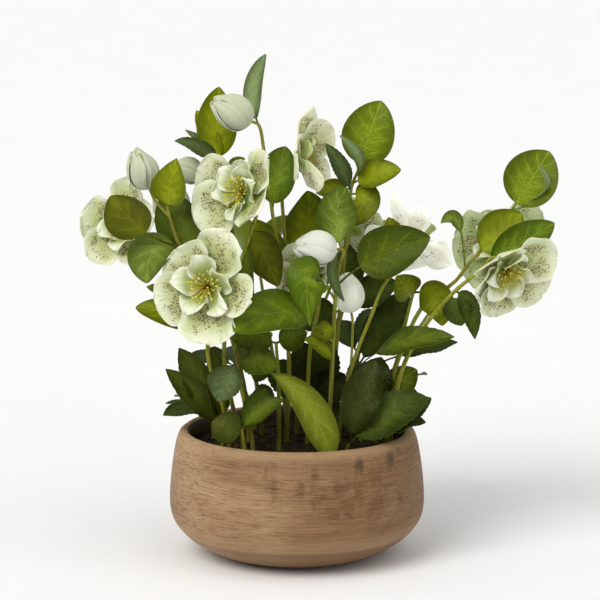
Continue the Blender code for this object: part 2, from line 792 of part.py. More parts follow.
def petal_mesh(start, end, width, lean, angle, shares, bulge):
    """A petal from (radius, height) at its start to its end, turned to its angle about the flower's axis."""
    turn = Matrix.Rotation(math.radians(angle), 3, "Z")
    inner, outer = Vector((start[0], 0, start[1])), Vector((end[0], 0, end[1]))
    bend = Vector((end[0] * 0.62, 0, start[1] + (end[1] - start[1]) * 0.22))
    face = turn @ Vector((0, math.sin(math.radians(lean)), math.cos(math.radians(lean))))
    stations = [(u, width / 2 * egg(0.02 + 0.965 * u, 0.85, 0.5)) for u in shares]
    return blade("petal", bent(turn @ inner, turn @ bend, turn @ outer), face, stations, bulge, PETAL_THICK)


def make_flower(flower, seed):
    """An open flower: broad petals round short ones that stand between them, and a tuft of stamens."""
    chance = random.Random(seed)
    matrix = placing(flower.seat, flower.looks)
    meshes = [turned(flower.name, 0, CORE_PROFILE, CORE_PROFILE[-1][1], CORE_SIDES)]
    for angle, reach, rise, width in flower.petals:
        shape = (PETAL_LEAN, 90 - angle, PETAL_STATIONS, PETAL_BULGE)
        meshes.append(petal_mesh(PETAL_START, (reach, rise), width, *shape))
    angles = [petal[0] for petal in flower.petals]
    for angle, after in zip(angles, angles[1:] + [angles[0] + 360]):
        middle = (angle + after) / 2 + chance.uniform(-6, 6)
        reach = flower.spread * chance.uniform(0.46, 0.54)
        rise = flower.spread * chance.uniform(0.42, 0.5)
        shape = (INNER_LEAN, 90 - middle, INNER_STATIONS, INNER_BULGE)
        meshes.append(petal_mesh(INNER_START, (reach, rise), flower.spread * INNER_WIDTH, *shape))
    stamens = stamen_meshes(flower.spread)
    joined(f"bloom_{flower.name}", [placed(mesh, matrix) for mesh in meshes], PETAL)
    joined(f"stamens_{flower.name}", [placed(mesh, matrix) for mesh in stamens], STAMEN)


def stamen_meshes(reach):
    """A small disc and the stamens that stand out of it."""
    base = CORE_PROFILE[-1][1] + CLEAR
    meshes = [turned("disc", base, ((2.6, base), (2.2, base + 1.6)), base + 2.4, STEM_SIDES)]
    for k in range(STAMENS):
        turn = Matrix.Rotation(math.tau * (k + 0.3) / STAMENS, 3, "Z")
        lean = math.radians(38 if k % 2 else 20)
        root = turn @ Vector((0.8, 0, base + 0.6))
        aim = turn @ Vector((math.sin(lean), 0, math.cos(lean)))
        meshes.append(needle(root, root + aim * reach * 0.36))
    return meshes


def needle(root, tip):
    """A three-sided needle from root to tip, wider towards its tip like a filament under its anther."""
    aim = (tip - root).normalized()
    side = aim.orthogonal().normalized()
    other = aim.cross(side)
    points = [root]
    for k in range(3):
        angle = math.tau * k / 3
        points.append(tip + (side * math.cos(angle) + other * math.sin(angle)) * STAMEN_RADIUS)
    faces = [(1, 2, 3)] + [(0, 1 + (k + 1) % 3, 1 + k) for k in range(3)]
    return mesh_from("needle", points, faces)


def make_bud(bud):
    """A closed bud whose wrapped petals stand out as steps."""
    around = BUD_PETALS * BUD_STEPS
    rings = []
    for t in BUD_STATIONS:
        ring = []
        for k in range(around):
            radius = bud.width / 2 * egg(t, 0.5, 0.66) * (0.88 + 0.12 * (k % BUD_STEPS))
            angle = math.tau * k / around + 0.9 * t
            ring.append((radius * math.cos(angle), radius * math.sin(angle), bud.length * t))
        rings.append(ring)
    mesh = skinned(bud.name, (0, 0, 0), rings, (0, 0, bud.length * 0.97))
    finished(linked(f"bud_{bud.name}", placed(mesh, placing(bud.seat, bud.looks))), BUD)


def make_bowl():
    """The turned wooden bowl."""
    mesh = turned("bowl", 0, BOWL_OUTSIDE + BOWL_INSIDE, BOWL_FLOOR, BOWL_SIDES)
    finished(linked("bowl", mesh), WOOD)


def lumps(x, y, height):
    """How far the compost's upper surface stands above or below its mean at a place."""
    if height <= SOIL_EDGE_HEIGHT:
        return 0
    return SOIL_LUMP * (math.sin(x * 0.21 + y * 0.13) + math.sin(y * 0.24 - x * 0.09)) / 2


def make_soil():
    """The compost that fills the bowl, with a plain hole for each stem."""
    side = [(r - SOIL_INSET, z + CLEAR) for r, z in reversed(BOWL_INSIDE) if z < SOIL_EDGE_HEIGHT]
    edge = BOWL_INSIDE[1][0] - SOIL_INSET
    side.append((edge, SOIL_EDGE_HEIGHT))
    side += [(edge * (1 - s), SOIL_EDGE_HEIGHT + SOIL_MOUND * s) for s in SOIL_RINGS]
    top = SOIL_EDGE_HEIGHT + SOIL_MOUND
    body = linked("compost", turned("compost", BOWL_FLOOR + CLEAR, side, top, SOIL_SIDES, rise=lumps))
    holes = []
    for stem in STEMS:
        radius = (stem.radius + CLEAR) / math.cos(math.pi / HOLE_SIDES)
        wall = ((radius, HOLE_FLOOR), (radius, BOWL_HEIGHT))
        hole = turned(f"hole_{stem.name}", HOLE_FLOOR, wall, BOWL_HEIGHT, HOLE_SIDES)
        holes.append(placed(hole, Matrix.Translation((*stem.route[0], 0))))
    combined(body, holes, "DIFFERENCE")
    finished(body, SOIL)


HELD = {flower.name: flower for flower in FLOWERS}
HELD.update({f"{bud.name}_bud": bud for bud in BUDS})


def main():
    """Builds the whole plant in its bowl."""
    for thing in list(bpy.data.objects):
        bpy.data.objects.remove(thing)
    make_bowl()
    make_soil()
    for stem in STEMS:
        joined(stem.name, stem_meshes(stem), stem.finish)
    for seed, flower in enumerate(FLOWERS):
        make_flower(flower, seed)
    for bud in BUDS:
        make_bud(bud)


main()
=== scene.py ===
"""Potted hellebore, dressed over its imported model: a turned wooden bowl of compost with flowering stems.

Lengths in the tables and in every sheet of points are millimetres. Meshes are metres, with X to the right,
Y to the back and Z up from the surface that the bowl stands on.
"""

import logging
import math
import random
from collections.abc import Callable, Sequence
from dataclasses import dataclass, field, replace
from enum import Enum
from functools import partial

import bpy
import numpy as np
from mathutils import Matrix, Vector

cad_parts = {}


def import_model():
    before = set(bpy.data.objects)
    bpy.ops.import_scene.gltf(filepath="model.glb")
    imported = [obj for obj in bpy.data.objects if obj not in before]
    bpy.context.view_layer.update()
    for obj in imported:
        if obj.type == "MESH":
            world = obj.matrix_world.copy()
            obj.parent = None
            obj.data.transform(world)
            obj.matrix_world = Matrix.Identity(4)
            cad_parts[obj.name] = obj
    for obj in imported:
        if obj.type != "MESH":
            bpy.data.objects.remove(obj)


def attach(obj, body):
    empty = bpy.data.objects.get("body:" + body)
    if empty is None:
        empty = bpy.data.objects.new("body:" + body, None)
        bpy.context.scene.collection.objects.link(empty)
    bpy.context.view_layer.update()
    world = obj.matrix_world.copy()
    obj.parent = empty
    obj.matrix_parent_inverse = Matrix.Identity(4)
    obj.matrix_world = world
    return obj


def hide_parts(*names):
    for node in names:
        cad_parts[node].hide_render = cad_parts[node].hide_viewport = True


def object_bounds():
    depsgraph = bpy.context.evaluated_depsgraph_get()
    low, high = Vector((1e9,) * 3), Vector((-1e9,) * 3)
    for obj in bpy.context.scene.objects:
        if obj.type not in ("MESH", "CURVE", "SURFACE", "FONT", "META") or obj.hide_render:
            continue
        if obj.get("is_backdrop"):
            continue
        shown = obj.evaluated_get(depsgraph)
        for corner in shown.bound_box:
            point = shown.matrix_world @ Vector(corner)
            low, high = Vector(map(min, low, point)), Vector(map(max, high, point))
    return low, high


LOG = logging.getLogger("hellebore")

MM = 0.001
BODY = "root"
# The turn from one stamen to the next, in radians
GOLDEN_ANGLE = 2.39996
# How far apart two blades' numbers lie in a pattern, in mm, so that no two blades show the same stretch of it
APART = 23.7

# Settings that many nodes share: a smooth ramp, steps of arithmetic, and a mix of colours with its output
SMOOTH = {"interpolation_type": "SMOOTHSTEP"}
TIMES = {"operation": "MULTIPLY"}
TIMES_PLUS = {"operation": "MULTIPLY_ADD"}
MINUS = {"operation": "SUBTRACT"}
UNSIGNED = {"operation": "ABSOLUTE"}
LARGER = {"operation": "MAXIMUM"}
COLOURS = {"data_type": "RGBA", "out": 2}
# The inputs of a mix of colours, and inputs that give a soft noise
SHARE, FIRST, SECOND = 0, 6, 7
SOFT = {"Scale": 1.0, "Detail": 3.0, "Roughness": 0.55}

Socket = bpy.types.NodeSocket
Colour = tuple[float, float, float, float]


def linear(code: str) -> Colour:
    """Turns an sRGB colour into the linear one that a shader works in.

    Args:
        code: The colour as six hex digits.

    Returns:
        Red, green, blue and an alpha of 1.
    """
    parts = [int(code[k:k + 2], 16) / 255 for k in (0, 2, 4)]
    return (*[c / 12.92 if c <= 0.04045 else ((c + 0.055) / 1.055) ** 2.4 for c in parts], 1.0)


def add_node(
    tree: bpy.types.NodeTree, kind: str, inputs: dict | Sequence = (), out: int | str = 0, **settings: object
) -> Socket | None:
    """Adds a node to a tree.

    Args:
        tree: The tree that it joins.
        kind: The node's type name.
        inputs: For its inputs, in their order or by name or number, a value, a socket or a list of sockets.
        out: The output that is wanted, by name or number.
        **settings: The node's own properties.

    Returns:
        That output, or None for a node without outputs.
    """
    node = tree.nodes.new(kind)
    for key, value in settings.items():
        setattr(node, key, value)
    for key, value in inputs.items() if isinstance(inputs, dict) else enumerate(inputs):
        for feed in value if isinstance(value, list) else [value]:
            if isinstance(feed, Socket):
                tree.links.new(feed, node.inputs[key])
            else:
                node.inputs[key].default_value = feed
    return node.outputs[out] if node.outputs else None


class Paint:
    """One material's nodes."""

    def __init__(self, name: str) -> None:
        """Starts a material without nodes.

        Args:
            name: The material's name.
        """
        self.material = bpy.data.materials.new(name)
        self.material.use_nodes = True
        self.tree = self.material.node_tree
        self.tree.nodes.clear()

    def add(self, kind: str, inputs: dict | Sequence = (), out: int | str = 0, **settings: object) -> Socket:
        """Adds a shader node, whose kind is named without the prefix that they all share."""
        return add_node(self.tree, f"ShaderNode{kind}", inputs, out, **settings)

    def over(self, *size: float) -> Socket:
        """The place on the object, counted in repeats of that many mm across, deep and up."""
        place = self.add("TexCoord", out="Object")
        return self.add("Mapping", {"Vector": place, "Scale": tuple(1 / (length * MM) for length in size)})

    def on_blade(self) -> tuple[Socket, Socket, Socket, Socket]:
        """Reads where a leaf or petal is from its mesh.

        Returns:
            Its shares across and along the blade, the blade's own shade, and millimetres across and along.
        """
        place = self.add("Attribute", out="Vector", attribute_name="place")
        across, along, shade = self.add("SeparateXYZ", (place,)).node.outputs
        return across, along, shade, self.add("Attribute", out="Vector", attribute_name="spread")

    def covered(self, surface: dict) -> bpy.types.Material:
        """Ends the material in its surface, by what goes into the shader, and returns it."""
        self.add("OutputMaterial", (self.add("BsdfPrincipled", surface),))
        return self.material


class Tone(Enum):
    """The leaf colours that the plant shows: the upper side's two greens, the ribs' and the underside's."""

    # SHADE is the greens darkened for leaves deep in the plant: painted shade
    SHADE = ("1c2404", "292f08", "3e4618", "363e10")
    DUSK = ("363c06", "484e0e", "5a6020", "525818")
    DARK = ("2c3a08", "3e4c10", "4e5c1c", "4a5818")
    GREY = ("404e2a", "56663c", "6c7c4a", "5e6c40")
    DEEP = ("3a4a06", "546410", "6c7a24", "5a6a14")
    MOSS = ("4c5002", "626602", "848a24", "6a7010")
    HOLLY = ("354500", "4a5800", "68781a", "586610")
    GREEN = ("465c04", "607606", "849630", "6e8014")
    FRESH = ("52651a", "70822e", "96a848", "788628")
    BRIGHT = ("526304", "6c7d0a", "aab63e", "707e18")
    SPRING = ("57600a", "6d7614", "98a03e", "727a1e")
    OLIVE = ("626c02", "7c8804", "9ca426", "7c8610")
    LIME = ("707a02", "8c9808", "aab030", "868e14")
    SAGE = ("66784a", "7e9060", "9aac70", "82965c")


@dataclass(frozen=True)
class LeafFinish:
    """Polyester leaf cloth with a satin coating, heat-pressed so that its net of veins is sunk.

    Seen close, the coating gives a soft broad gloss and the pressed veins break it up. The blade is lighter
    beside its veins than between them and dark towards its edge, both painted shade. Sizes are millimetres.
    """

    tone: Tone
    margin_shade: str = "101400"
    rib_width: float = 0.4
    side_veins: float = 6.0
    vein_slant: float = 0.22
    net_size: float = 2.6
    fleck_size: float = 1.1
    wave_size: float = 7.5
    wobble_size: float = 11.0
    patch_size: float = 18.0
    relief: float = 0.5

    def material(self) -> bpy.types.Material:
        """Builds the leaf's material, which reads where it is on the blade from the mesh.

        Returns:
            The material.
        """
        deep, light, rib, under = [linear(code) for code in self.tone.value]
        paint = Paint(f"leaf_cloth_{self.tone.name.lower()}")
        add = paint.add
        across, along, shade, spread = paint.on_blade()
        side = add("Math", (across,), **UNSIGNED)
        wobble = add("TexNoise", {**SOFT, "Vector": spread, "Scale": 1 / self.wobble_size, "Detail": 1.0})
        patches = add("TexNoise", {**SOFT, "Vector": spread, "Scale": 1 / self.patch_size})
        fleck = add("TexNoise", {**SOFT, "Vector": spread, "Scale": 1 / self.fleck_size, "Roughness": 0.7})
        waves = add("TexNoise", {**SOFT, "Vector": spread, "Scale": 1 / self.wave_size, "Detail": 2.0})

        # The midrib, the side veins that leave it aslant, and the net between them
        from_rib = add("Math", (add("SeparateXYZ", (spread,)),), **UNSIGNED)
        middle = add("MapRange", (from_rib, self.rib_width * 0.5, self.rib_width * 1.4, 1, 0), **SMOOTH)
        bent = add("Math", (side, 0.8), operation="POWER")
        slant = add("Math", (bent, -self.vein_slant, along), **TIMES_PLUS)
        slant = add("Math", (wobble, 0.05, slant), **TIMES_PLUS)
        turns = add("Math", (add("Math", (slant, self.side_veins), **TIMES),), operation="FRACT")
        centred = add("Math", (turns, 0.5), **MINUS)
        off_vein = add("Math", (centred,), **UNSIGNED)
        narrow = add("MapRange", (off_vein, 0.02, 0.09, 1, 0), **SMOOTH)
        fading = add("MapRange", (side, 0.9, 0.4, 0.2, 1), **SMOOTH)
        veins = add("Math", (narrow, fading), **TIMES)
        cells = add("TexVoronoi", {"Vector": spread, "Scale": 1 / self.net_size}, feature="DISTANCE_TO_EDGE")
        net = add("MapRange", (cells, 0.02, 0.12, 1, 0), **SMOOTH)

        # Light at its heart; painted shade makes it darker between its veins than beside them, and dark
        # towards its edge
        inward = add("MapRange", (side, 0.0, 0.75, 1, 0), **SMOOTH)
        heart = add("Math", (inward, add("MapRange", (along, 0.95, 0.1, 0, 1), **SMOOTH)), **TIMES)
        # Painted shade: darker between the veins than beside them
        by_vein = add("MapRange", (off_vein, 0.45, 0.05), **SMOOTH)
        shade_between_veins = add("Math", (by_vein, add("MapRange", (side, 0.95, 0.2, 0.1, 0.4), **SMOOTH)), **TIMES)
        glow = add("MapRange", (patches, 0.35, 0.65, -0.2, 0.6), **SMOOTH)
        glow = add("Math", (heart, 0.85, glow), **TIMES_PLUS)
        glow = add("Math", (glow, shade_between_veins), operation="ADD")
        own = add("Math", (shade, 0.5), **MINUS)
        glow = add("Math", (own, 0.6, glow), **TIMES_PLUS)
        share = add("MapRange", (glow, 0.0, 1.1), **SMOOTH)
        colour = add("Mix", {SHARE: share, FIRST: deep, SECOND: light}, **COLOURS)
        # Painted shade: dark towards the blade's edge
        patchy = add("Math", (patches, 0.5), **MINUS)
        outward = add("Math", (patchy, 1.4, side), **TIMES_PLUS)
        share = add("MapRange", (outward, 0.45, 1.0, 0, 0.42), **SMOOTH)
        colour = add("Mix", {SHARE: share, FIRST: colour, SECOND: linear(self.margin_shade)}, **COLOURS)

        # The ribs' colour, and the paler underside
        near = add("Math", (heart, 0.6, 0.06), **TIMES_PLUS)
        meshed = add("Math", (net, near), **TIMES)
        lines = add("Math", (add("Math", (veins, 0.3), **TIMES), meshed), **LARGER)
        lines = add("Math", (lines, add("Math", (middle, 0.6), **TIMES)), **LARGER)
        colour = add("Mix", {SHARE: lines, FIRST: colour, SECOND: rib}, **COLOURS)
        flecked = add("Math", (lines, add("Math", (fleck, 0.3), **TIMES)), **LARGER)
        below = add("Mix", {SHARE: flecked, FIRST: under, SECOND: rib}, **COLOURS)
        turned_over = add("Attribute", out="Fac", attribute_name="under")
        colour = add("Mix", {SHARE: turned_over, FIRST: colour, SECOND: below}, **COLOURS)

        sunk = add("Math", (veins, 0.5, add("Math", (middle, 0.9), **TIMES)), **TIMES_PLUS)
        sunk = add("Math", (net, 0.25, sunk), **TIMES_PLUS)
        height = add("Math", (waves, 2.4), **TIMES)
        height = add("Math", (fleck, 0.35, height), **TIMES_PLUS)
        height = add("Math", (height, sunk), **MINUS)
        pressed = add("Bump", {"Height": height, "Strength": 0.8, "Distance": self.relief * MM})
        satin = add("MapRange", (fleck, 0.3, 0.7, 0.3, 0.46), **SMOOTH)
        return paint.covered({
            "Base Color": colour, "Roughness": satin, "Specular IOR Level": 0.24,
            "Specular Tint": (0.9, 1.0, 0.42, 1.0), "Normal": pressed,
        })


@dataclass(frozen=True)
class StalkFinish:
    """Wired stalk in extruded polythene: olive green, with brown flushes and fine ridges along it.

    Near the compost it is darker, painted shade under the leaves. Sizes and heights are millimetres.
    """

    green: str = "747820"
    pale: str = "9a9c3a"
    flush: str = "70502a"
    shaded: str = "504c12"
    ridges: tuple = (1.1, 1.1, 40)
    patches: tuple = (55, 55, 90)
    lit_above: float = 170
    dark_below: float = 100

    def material(self) -> bpy.types.Material:
        """Builds the stalk's material over the object's own coordinates.

        Returns:
            The material.
        """
        paint = Paint("stalk_polythene")
        add = paint.add
        ridge = add("TexNoise", {**SOFT, "Vector": paint.over(*self.ridges)})
        patch = add("TexNoise", {**SOFT, "Vector": paint.over(*self.patches), "Detail": 2.0})
        share = add("MapRange", (ridge, 0.3, 0.7), **SMOOTH)
        colour = add("Mix", {SHARE: share, FIRST: linear(self.green), SECOND: linear(self.pale)}, **COLOURS)
        share = add("MapRange", (patch, 0.52, 0.72, 0, 0.75), **SMOOTH)
        colour = add("Mix", {SHARE: share, FIRST: colour, SECOND: linear(self.flush)}, **COLOURS)
        # Painted shade: darker towards the compost, under the leaves
        up = add("SeparateXYZ", (add("TexCoord", out="Object"),), 2)
        share = add("MapRange", (up, self.lit_above * MM, self.dark_below * MM, 0, 0.6), **SMOOTH)
        colour = add("Mix", {SHARE: share, FIRST: colour, SECOND: linear(self.shaded)}, **COLOURS)
        return paint.covered({
            "Base Color": colour, "Roughness": add("MapRange", (ridge, 0.3, 0.7, 0.45, 0.65), **SMOOTH),
            "Specular IOR Level": 0.2, "Specular Tint": (0.9, 1.0, 0.5, 1.0),
            "Normal": add("Bump", {"Height": ridge, "Strength": 0.5, "Distance": 0.3 * MM}),
        })


@dataclass(frozen=True)
class PetalFinish:
    """Printed polyester petal cloth: pale green that fades to cream, with maroon speckles up its middle.

    The cloth is thin enough for light to soften its folds. glow is how much light spreads in it, and lift how
    strongly the cloth glows by itself, a painted glow for light through it from behind. speckles is how
    thickly it is speckled, in clouds. Sizes are millimetres.
    """

    title: str = "petal_cloth"
    throat: str = "8ba04c"
    body: str = "bcc388"
    edge: str = "e8eacf"
    back: str = "c8cfa6"
    blush: str = "9c9466"
    speckle: str = "4c2a30"
    speckle_size: float = 1.1
    cloud_size: float = 14.0
    thread_size: float = 2.0
    speckles: float = 1.0
    streaks: float = 0.35
    glow: float = 0.25
    lift: float = 0.0

    def material(self) -> bpy.types.Material:
        """Builds the petal's material, which reads where it is on the petal from the mesh.

        Returns:
            The material.
        """
        paint = Paint(self.title)
        add = paint.add
        across, along, _, spread = paint.on_blade()
        side = add("Math", (across,), **UNSIGNED)
        drawn_out = add("VectorMath", (spread, (1, 0.16, 1)), **TIMES)
        noise = {**SOFT, "Vector": drawn_out, "Scale": 1 / self.thread_size, "Roughness": 0.6}
        grain = add("TexNoise", noise)
        far_along = add("MapRange", (along, 0.55, 1.0), **SMOOTH)
        far_out = add("MapRange", (side, 0.55, 1.0), **SMOOTH)
        rim = add("Math", (add("Math", (far_along, far_out), **LARGER), 0.9), **TIMES)
        share = add("MapRange", (along, 0.05, 0.6), **SMOOTH)
        colour = add("Mix", {SHARE: share, FIRST: linear(self.throat), SECOND: linear(self.body)}, **COLOURS)
        colour = add("Mix", {SHARE: rim, FIRST: colour, SECOND: linear(self.edge)}, **COLOURS)
        share = add("MapRange", (grain, 0.45, 0.75, 0, self.streaks), **SMOOTH)
        colour = add("Mix", {SHARE: share, FIRST: colour, SECOND: linear(self.throat)}, **COLOURS)
        turned_over = add("Attribute", out="Fac", attribute_name="under")
        colour = add("Mix", {SHARE: turned_over, FIRST: colour, SECOND: linear(self.back)}, **COLOURS)
        if self.speckles:
            colour = self.speckled(paint, colour)
        return paint.covered({
            "Base Color": colour, "Roughness": 0.55, "Specular IOR Level": 0.25,
            "Subsurface Weight": self.glow, "Subsurface Scale": 3 * MM, "Subsurface Radius": (1.0, 1.0, 0.7),
            # Painted light: the cloth glows by lift, for light through it from behind
            "Emission Color": colour, "Emission Strength": self.lift,
            "Normal": add("Bump", {"Height": grain, "Strength": self.streaks, "Distance": 0.4 * MM}),
        })

    def speckled(self, paint: Paint, colour: Socket) -> Socket:
        """Prints speckles over a colour: a cell's own chance decides whether it has one, and how large.

        Args:
            paint: The material's nodes.
            colour: The colour without them.

        Returns:
            The colour with them.
        """
        add = paint.add
        across, along, _, spread = paint.on_blade()
        side = add("Math", (across,), **UNSIGNED)
        drawn_out = add("VectorMath", (spread, (1, 0.72, 1)), **TIMES)
        spot = add("TexVoronoi", {"Vector": drawn_out, "Scale": 1 / self.speckle_size}, feature="F1")
        chance, more = add("SeparateColor", (spot.node.outputs["Color"],)).node.outputs[:2]
        cloud = add("TexNoise", {**SOFT, "Vector": spread, "Scale": 1 / self.cloud_size, "Detail": 2.0})
        band = add("MapRange", (along, 0.14, 0.3), **SMOOTH)
        for fade in ((along, 0.9, 0.6), (side, 0.85, 0.4), (cloud, 0.42, 0.58, 0.12, 2.0)):
            band = add("Math", (band, add("MapRange", fade, **SMOOTH)), **TIMES)
        share = add("Math", (band, 0.22), **TIMES)
        colour = add("Mix", {SHARE: share, FIRST: colour, SECOND: linear(self.blush)}, **COLOURS)
        here = add("Math", (chance, add("Math", (band, self.speckles), **TIMES)), operation="LESS_THAN")
        size = add("Math", (more, 0.22, 0.3), **TIMES_PLUS)
        dot = add("Math", (spot, size), operation="LESS_THAN")
        mark = add("Math", (add("Math", (dot, here), **TIMES), 0.9), **TIMES)
        return add("Mix", {SHARE: mark, FIRST: colour, SECOND: linear(self.speckle)}, **COLOURS)


@dataclass(frozen=True)
class StamenFinish:
    """Flocked plastic stamens: golden yellow, red-brown at the foot. The flock is 0.4 mm grains."""

    title: str
    foot: str
    top: str
    grain: float = 0.4

    def material(self) -> bpy.types.Material:
        """Builds the material, which reads the height along each filament from the mesh.

        Returns:
            The material.
        """
        paint = Paint(self.title)
        add = paint.add
        rise = add("Attribute", out="Fac", attribute_name="rise")
        flock = add("TexNoise", {**SOFT, "Vector": paint.over(*[self.grain] * 3), "Detail": 2.0})
        share = add("MapRange", (rise, 0.1, 0.4), **SMOOTH)
        colour = add("Mix", {SHARE: share, FIRST: linear(self.foot), SECOND: linear(self.top)}, **COLOURS)
        share = add("MapRange", (flock, 0.4, 0.7, 0, 0.25), **SMOOTH)
        colour = add("Mix", {SHARE: share, FIRST: colour, SECOND: linear(self.foot)}, **COLOURS)
        raised = add("Bump", {"Height": flock, "Strength": 0.6, "Distance": 0.2 * MM})
        return paint.covered({"Base Color": colour, "Roughness": 0.7, "Normal": raised})


@dataclass(frozen=True)
class WoodFinish:
    """Turned mango wood under a matt oil: fine grain across the bowl, dark pores and soft brown stains.

    Its right side is darker and its inner wall near black high up, both painted shade. Patterns have a size
    across, deep and up. stains are the smudges on the bowl's front and knots are the small dark eyes near its
    rim: where each is across and up, and its half width and half height. foot is where the plain band round
    the foot ends, and the painted shade inside starts within the radii of shaded_within and above the heights
    of shaded_above. All are millimetres.
    """

    pale: str = "b89a72"
    mid: str = "987756"
    # heart is a deep brown for the painted shade on the bowl's right side and for its darker lower part
    heart: str = "7e5e3e"
    dark: str = "59391e"
    pore: str = "3a281a"
    inner_shade: str = "241a10"
    bands: tuple = (110, 70, 5)
    grain: tuple = (38, 20, 0.8)
    fibres: tuple = (13, 6.5, 0.6)
    patches: tuple = (70, 110, 45)
    pores: tuple = (4, 2.5, 1.1)
    rags: tuple = (6, 6, 9)
    foot: tuple = (20.5, 22)
    shaded_within: tuple = (86.2, 85.2)
    shaded_above: tuple = (30, 60)
    stains: tuple = (
        (-18, 77, 4, 14), (-23, 86, 3, 5), (12, 82, 5, 13), (2, 72, 7, 7), (17, 66, 9, 9), (38, 57, 9, 9),
        (27, 54, 9, 7), (33, 73, 9, 9), (47, 70, 8, 12), (60, 80, 5, 10), (79, 59, 2.6, 7), (60, 58, 9, 11),
    )
    knots: tuple = ((47, 90, 3.6, 6), (71, 88.5, 4.4, 8), (77, 94, 2.4, 3))

    def smudged(self, paint: Paint, smudges: Sequence, rough: float, edge: float) -> Socket:
        """How strongly each place on the bowl's front is smudged, from 0 to 1.

        Args:
            paint: The material's nodes.
            smudges: Where each smudge is across and up, and its half width and half height, in mm.
            rough: How ragged their outlines are.
            edge: How far out each one starts to fade, as a share of its size.

        Returns:
            The strength's socket.
        """
        add = paint.add
        place = add("TexCoord", out="Object")
        noise = {**SOFT, "Vector": paint.over(*self.rags), "Detail": 4.0, "Roughness": 0.6}
        centred = add("Math", (add("TexNoise", noise), 0.5), **MINUS)
        most = 0.0
        for x, z, width, height in smudges:
            laid = {"Vector": place, "Location": (x * MM, 0, z * MM), "Scale": (width * MM, 1, height * MM)}
            off = add("Mapping", laid, vector_type="TEXTURE")
            far = add("VectorMath", (off,), "Value", operation="LENGTH")
            ragged = add("Math", (centred, rough, far), **TIMES_PLUS)
            most = add("Math", (most, add("MapRange", (ragged, 1.35, edge), **SMOOTH)), **LARGER)
        front = add("MapRange", (add("SeparateXYZ", (place,), 1), 0.0, -30 * MM), **SMOOTH)
        return add("Math", (most, front), **TIMES)

    def material(self) -> bpy.types.Material:
        """Builds the bowl's material over the object's own coordinates.

        Returns:
            The material.
        """
        paint = Paint("turned_mango_wood")
        add = paint.add
        noises = (
            (self.bands, 4.0, 0.6), (self.grain, 4.0, 0.65),
            (self.fibres, 3.0, 0.6), (self.patches, 3.0, 0.5),
        )
        bands, grain, fibres, patches = [
            add("TexNoise", {**SOFT, "Vector": paint.over(*size), "Detail": detail, "Roughness": rough})
            for size, detail, rough in noises
        ]
        across, deep, up = add("SeparateXYZ", (add("TexCoord", out="Object"),)).node.outputs
        bottom, top = [height * MM for height in self.foot]
        cells = add("TexVoronoi", {"Vector": paint.over(*self.pores), "Scale": 1.0}, feature="F1")
        few = add("Math", (add("SeparateColor", (cells.node.outputs["Color"],)), 0.2), operation="LESS_THAN")
        pores = add("Math", (add("MapRange", (cells, 0.12, 0.3, 1, 0), **SMOOTH), few), **TIMES)
        centred = add("Math", (patches, 0.5), **MINUS)
        shaded_side = add("Math", (centred, 0.12, across), **TIMES_PLUS)
        sawn = add("MapRange", (up, bottom, top, 0.25, 1), **SMOOTH)
        share = add("MapRange", (patches, 0.3, 0.7), **SMOOTH)
        colour = add("Mix", {SHARE: share, FIRST: linear(self.pale), SECOND: linear(self.mid)}, **COLOURS)

        # Each coat's strength, whether the plain band round the foot shows less of it, and its colour
        grain_and_shade = (
            # The first coat is painted shade, darker towards the right; the second darkens the bowl towards
            # its bottom
            ((shaded_side, -0.1, 0.03, 0, 0.9), False, self.heart),
            ((up, 0.07, 0.03, 0, 0.18), False, self.heart),
            ((grain, 0.47, 0.66, 0, 0.38), True, self.dark),
            ((grain, 0.46, 0.3, 0, 0.35), True, self.pale),
            ((bands, 0.45, 0.66, 0, 0.18), False, self.dark),
            ((fibres, 0.5, 0.64, 0, 0.6), True, self.dark),
        )
        worn = (
            ((up, top, bottom, 0, 0.3), False, self.dark),
            ((up, 0.09, 0.099, 0, 0.4), False, self.pale),
            ((up, 0.038, 0.026, 0, 0.3), True, self.pale),
        )
        colour = self.coated(paint, colour, grain_and_shade, sawn)
        share = add("Math", (pores, 0.6), **TIMES)
        colour = add("Mix", {SHARE: share, FIRST: colour, SECOND: linear(self.pore)}, **COLOURS)
        blotched = add("MapRange", (fibres, 0.36, 0.6, 0.25, 0.75), **SMOOTH)
        share = add("Math", (self.smudged(paint, self.stains, 3.4, 0.0), blotched), **TIMES)
        colour = add("Mix", {SHARE: share, FIRST: colour, SECOND: linear(self.dark)}, **COLOURS)
        share = add("Math", (self.smudged(paint, self.knots, 2.2, 0.2), 0.7), **TIMES)
        colour = add("Mix", {SHARE: share, FIRST: colour, SECOND: linear(self.pore)}, **COLOURS)
        colour = self.coated(paint, colour, worn, sawn)

        # Painted shade: the inner wall near black towards the rim
        flat = add("CombineXYZ", (across, deep))
        radius = add("VectorMath", (flat,), "Value", operation="LENGTH")
        within = add("MapRange", (radius, *[length * MM for length in self.shaded_within]), **SMOOTH)
        above = add("MapRange", (up, *[height * MM for height in self.shaded_above]), **SMOOTH)
        share = add("Math", (within, above), **TIMES)
        share = add("Math", (share, 0.85), **TIMES)
        colour = add("Mix", {SHARE: share, FIRST: colour, SECOND: linear(self.inner_shade)}, **COLOURS)
        height = add("Math", (pores, -0.6, grain), **TIMES_PLUS)
        return paint.covered({
            "Base Color": colour, "Roughness": add("MapRange", (grain, 0.3, 0.7, 0.5, 0.66), **SMOOTH),
            "Specular IOR Level": 0.25,
            "Normal": add("Bump", {"Height": height, "Strength": 0.4, "Distance": 0.5 * MM}),
        })

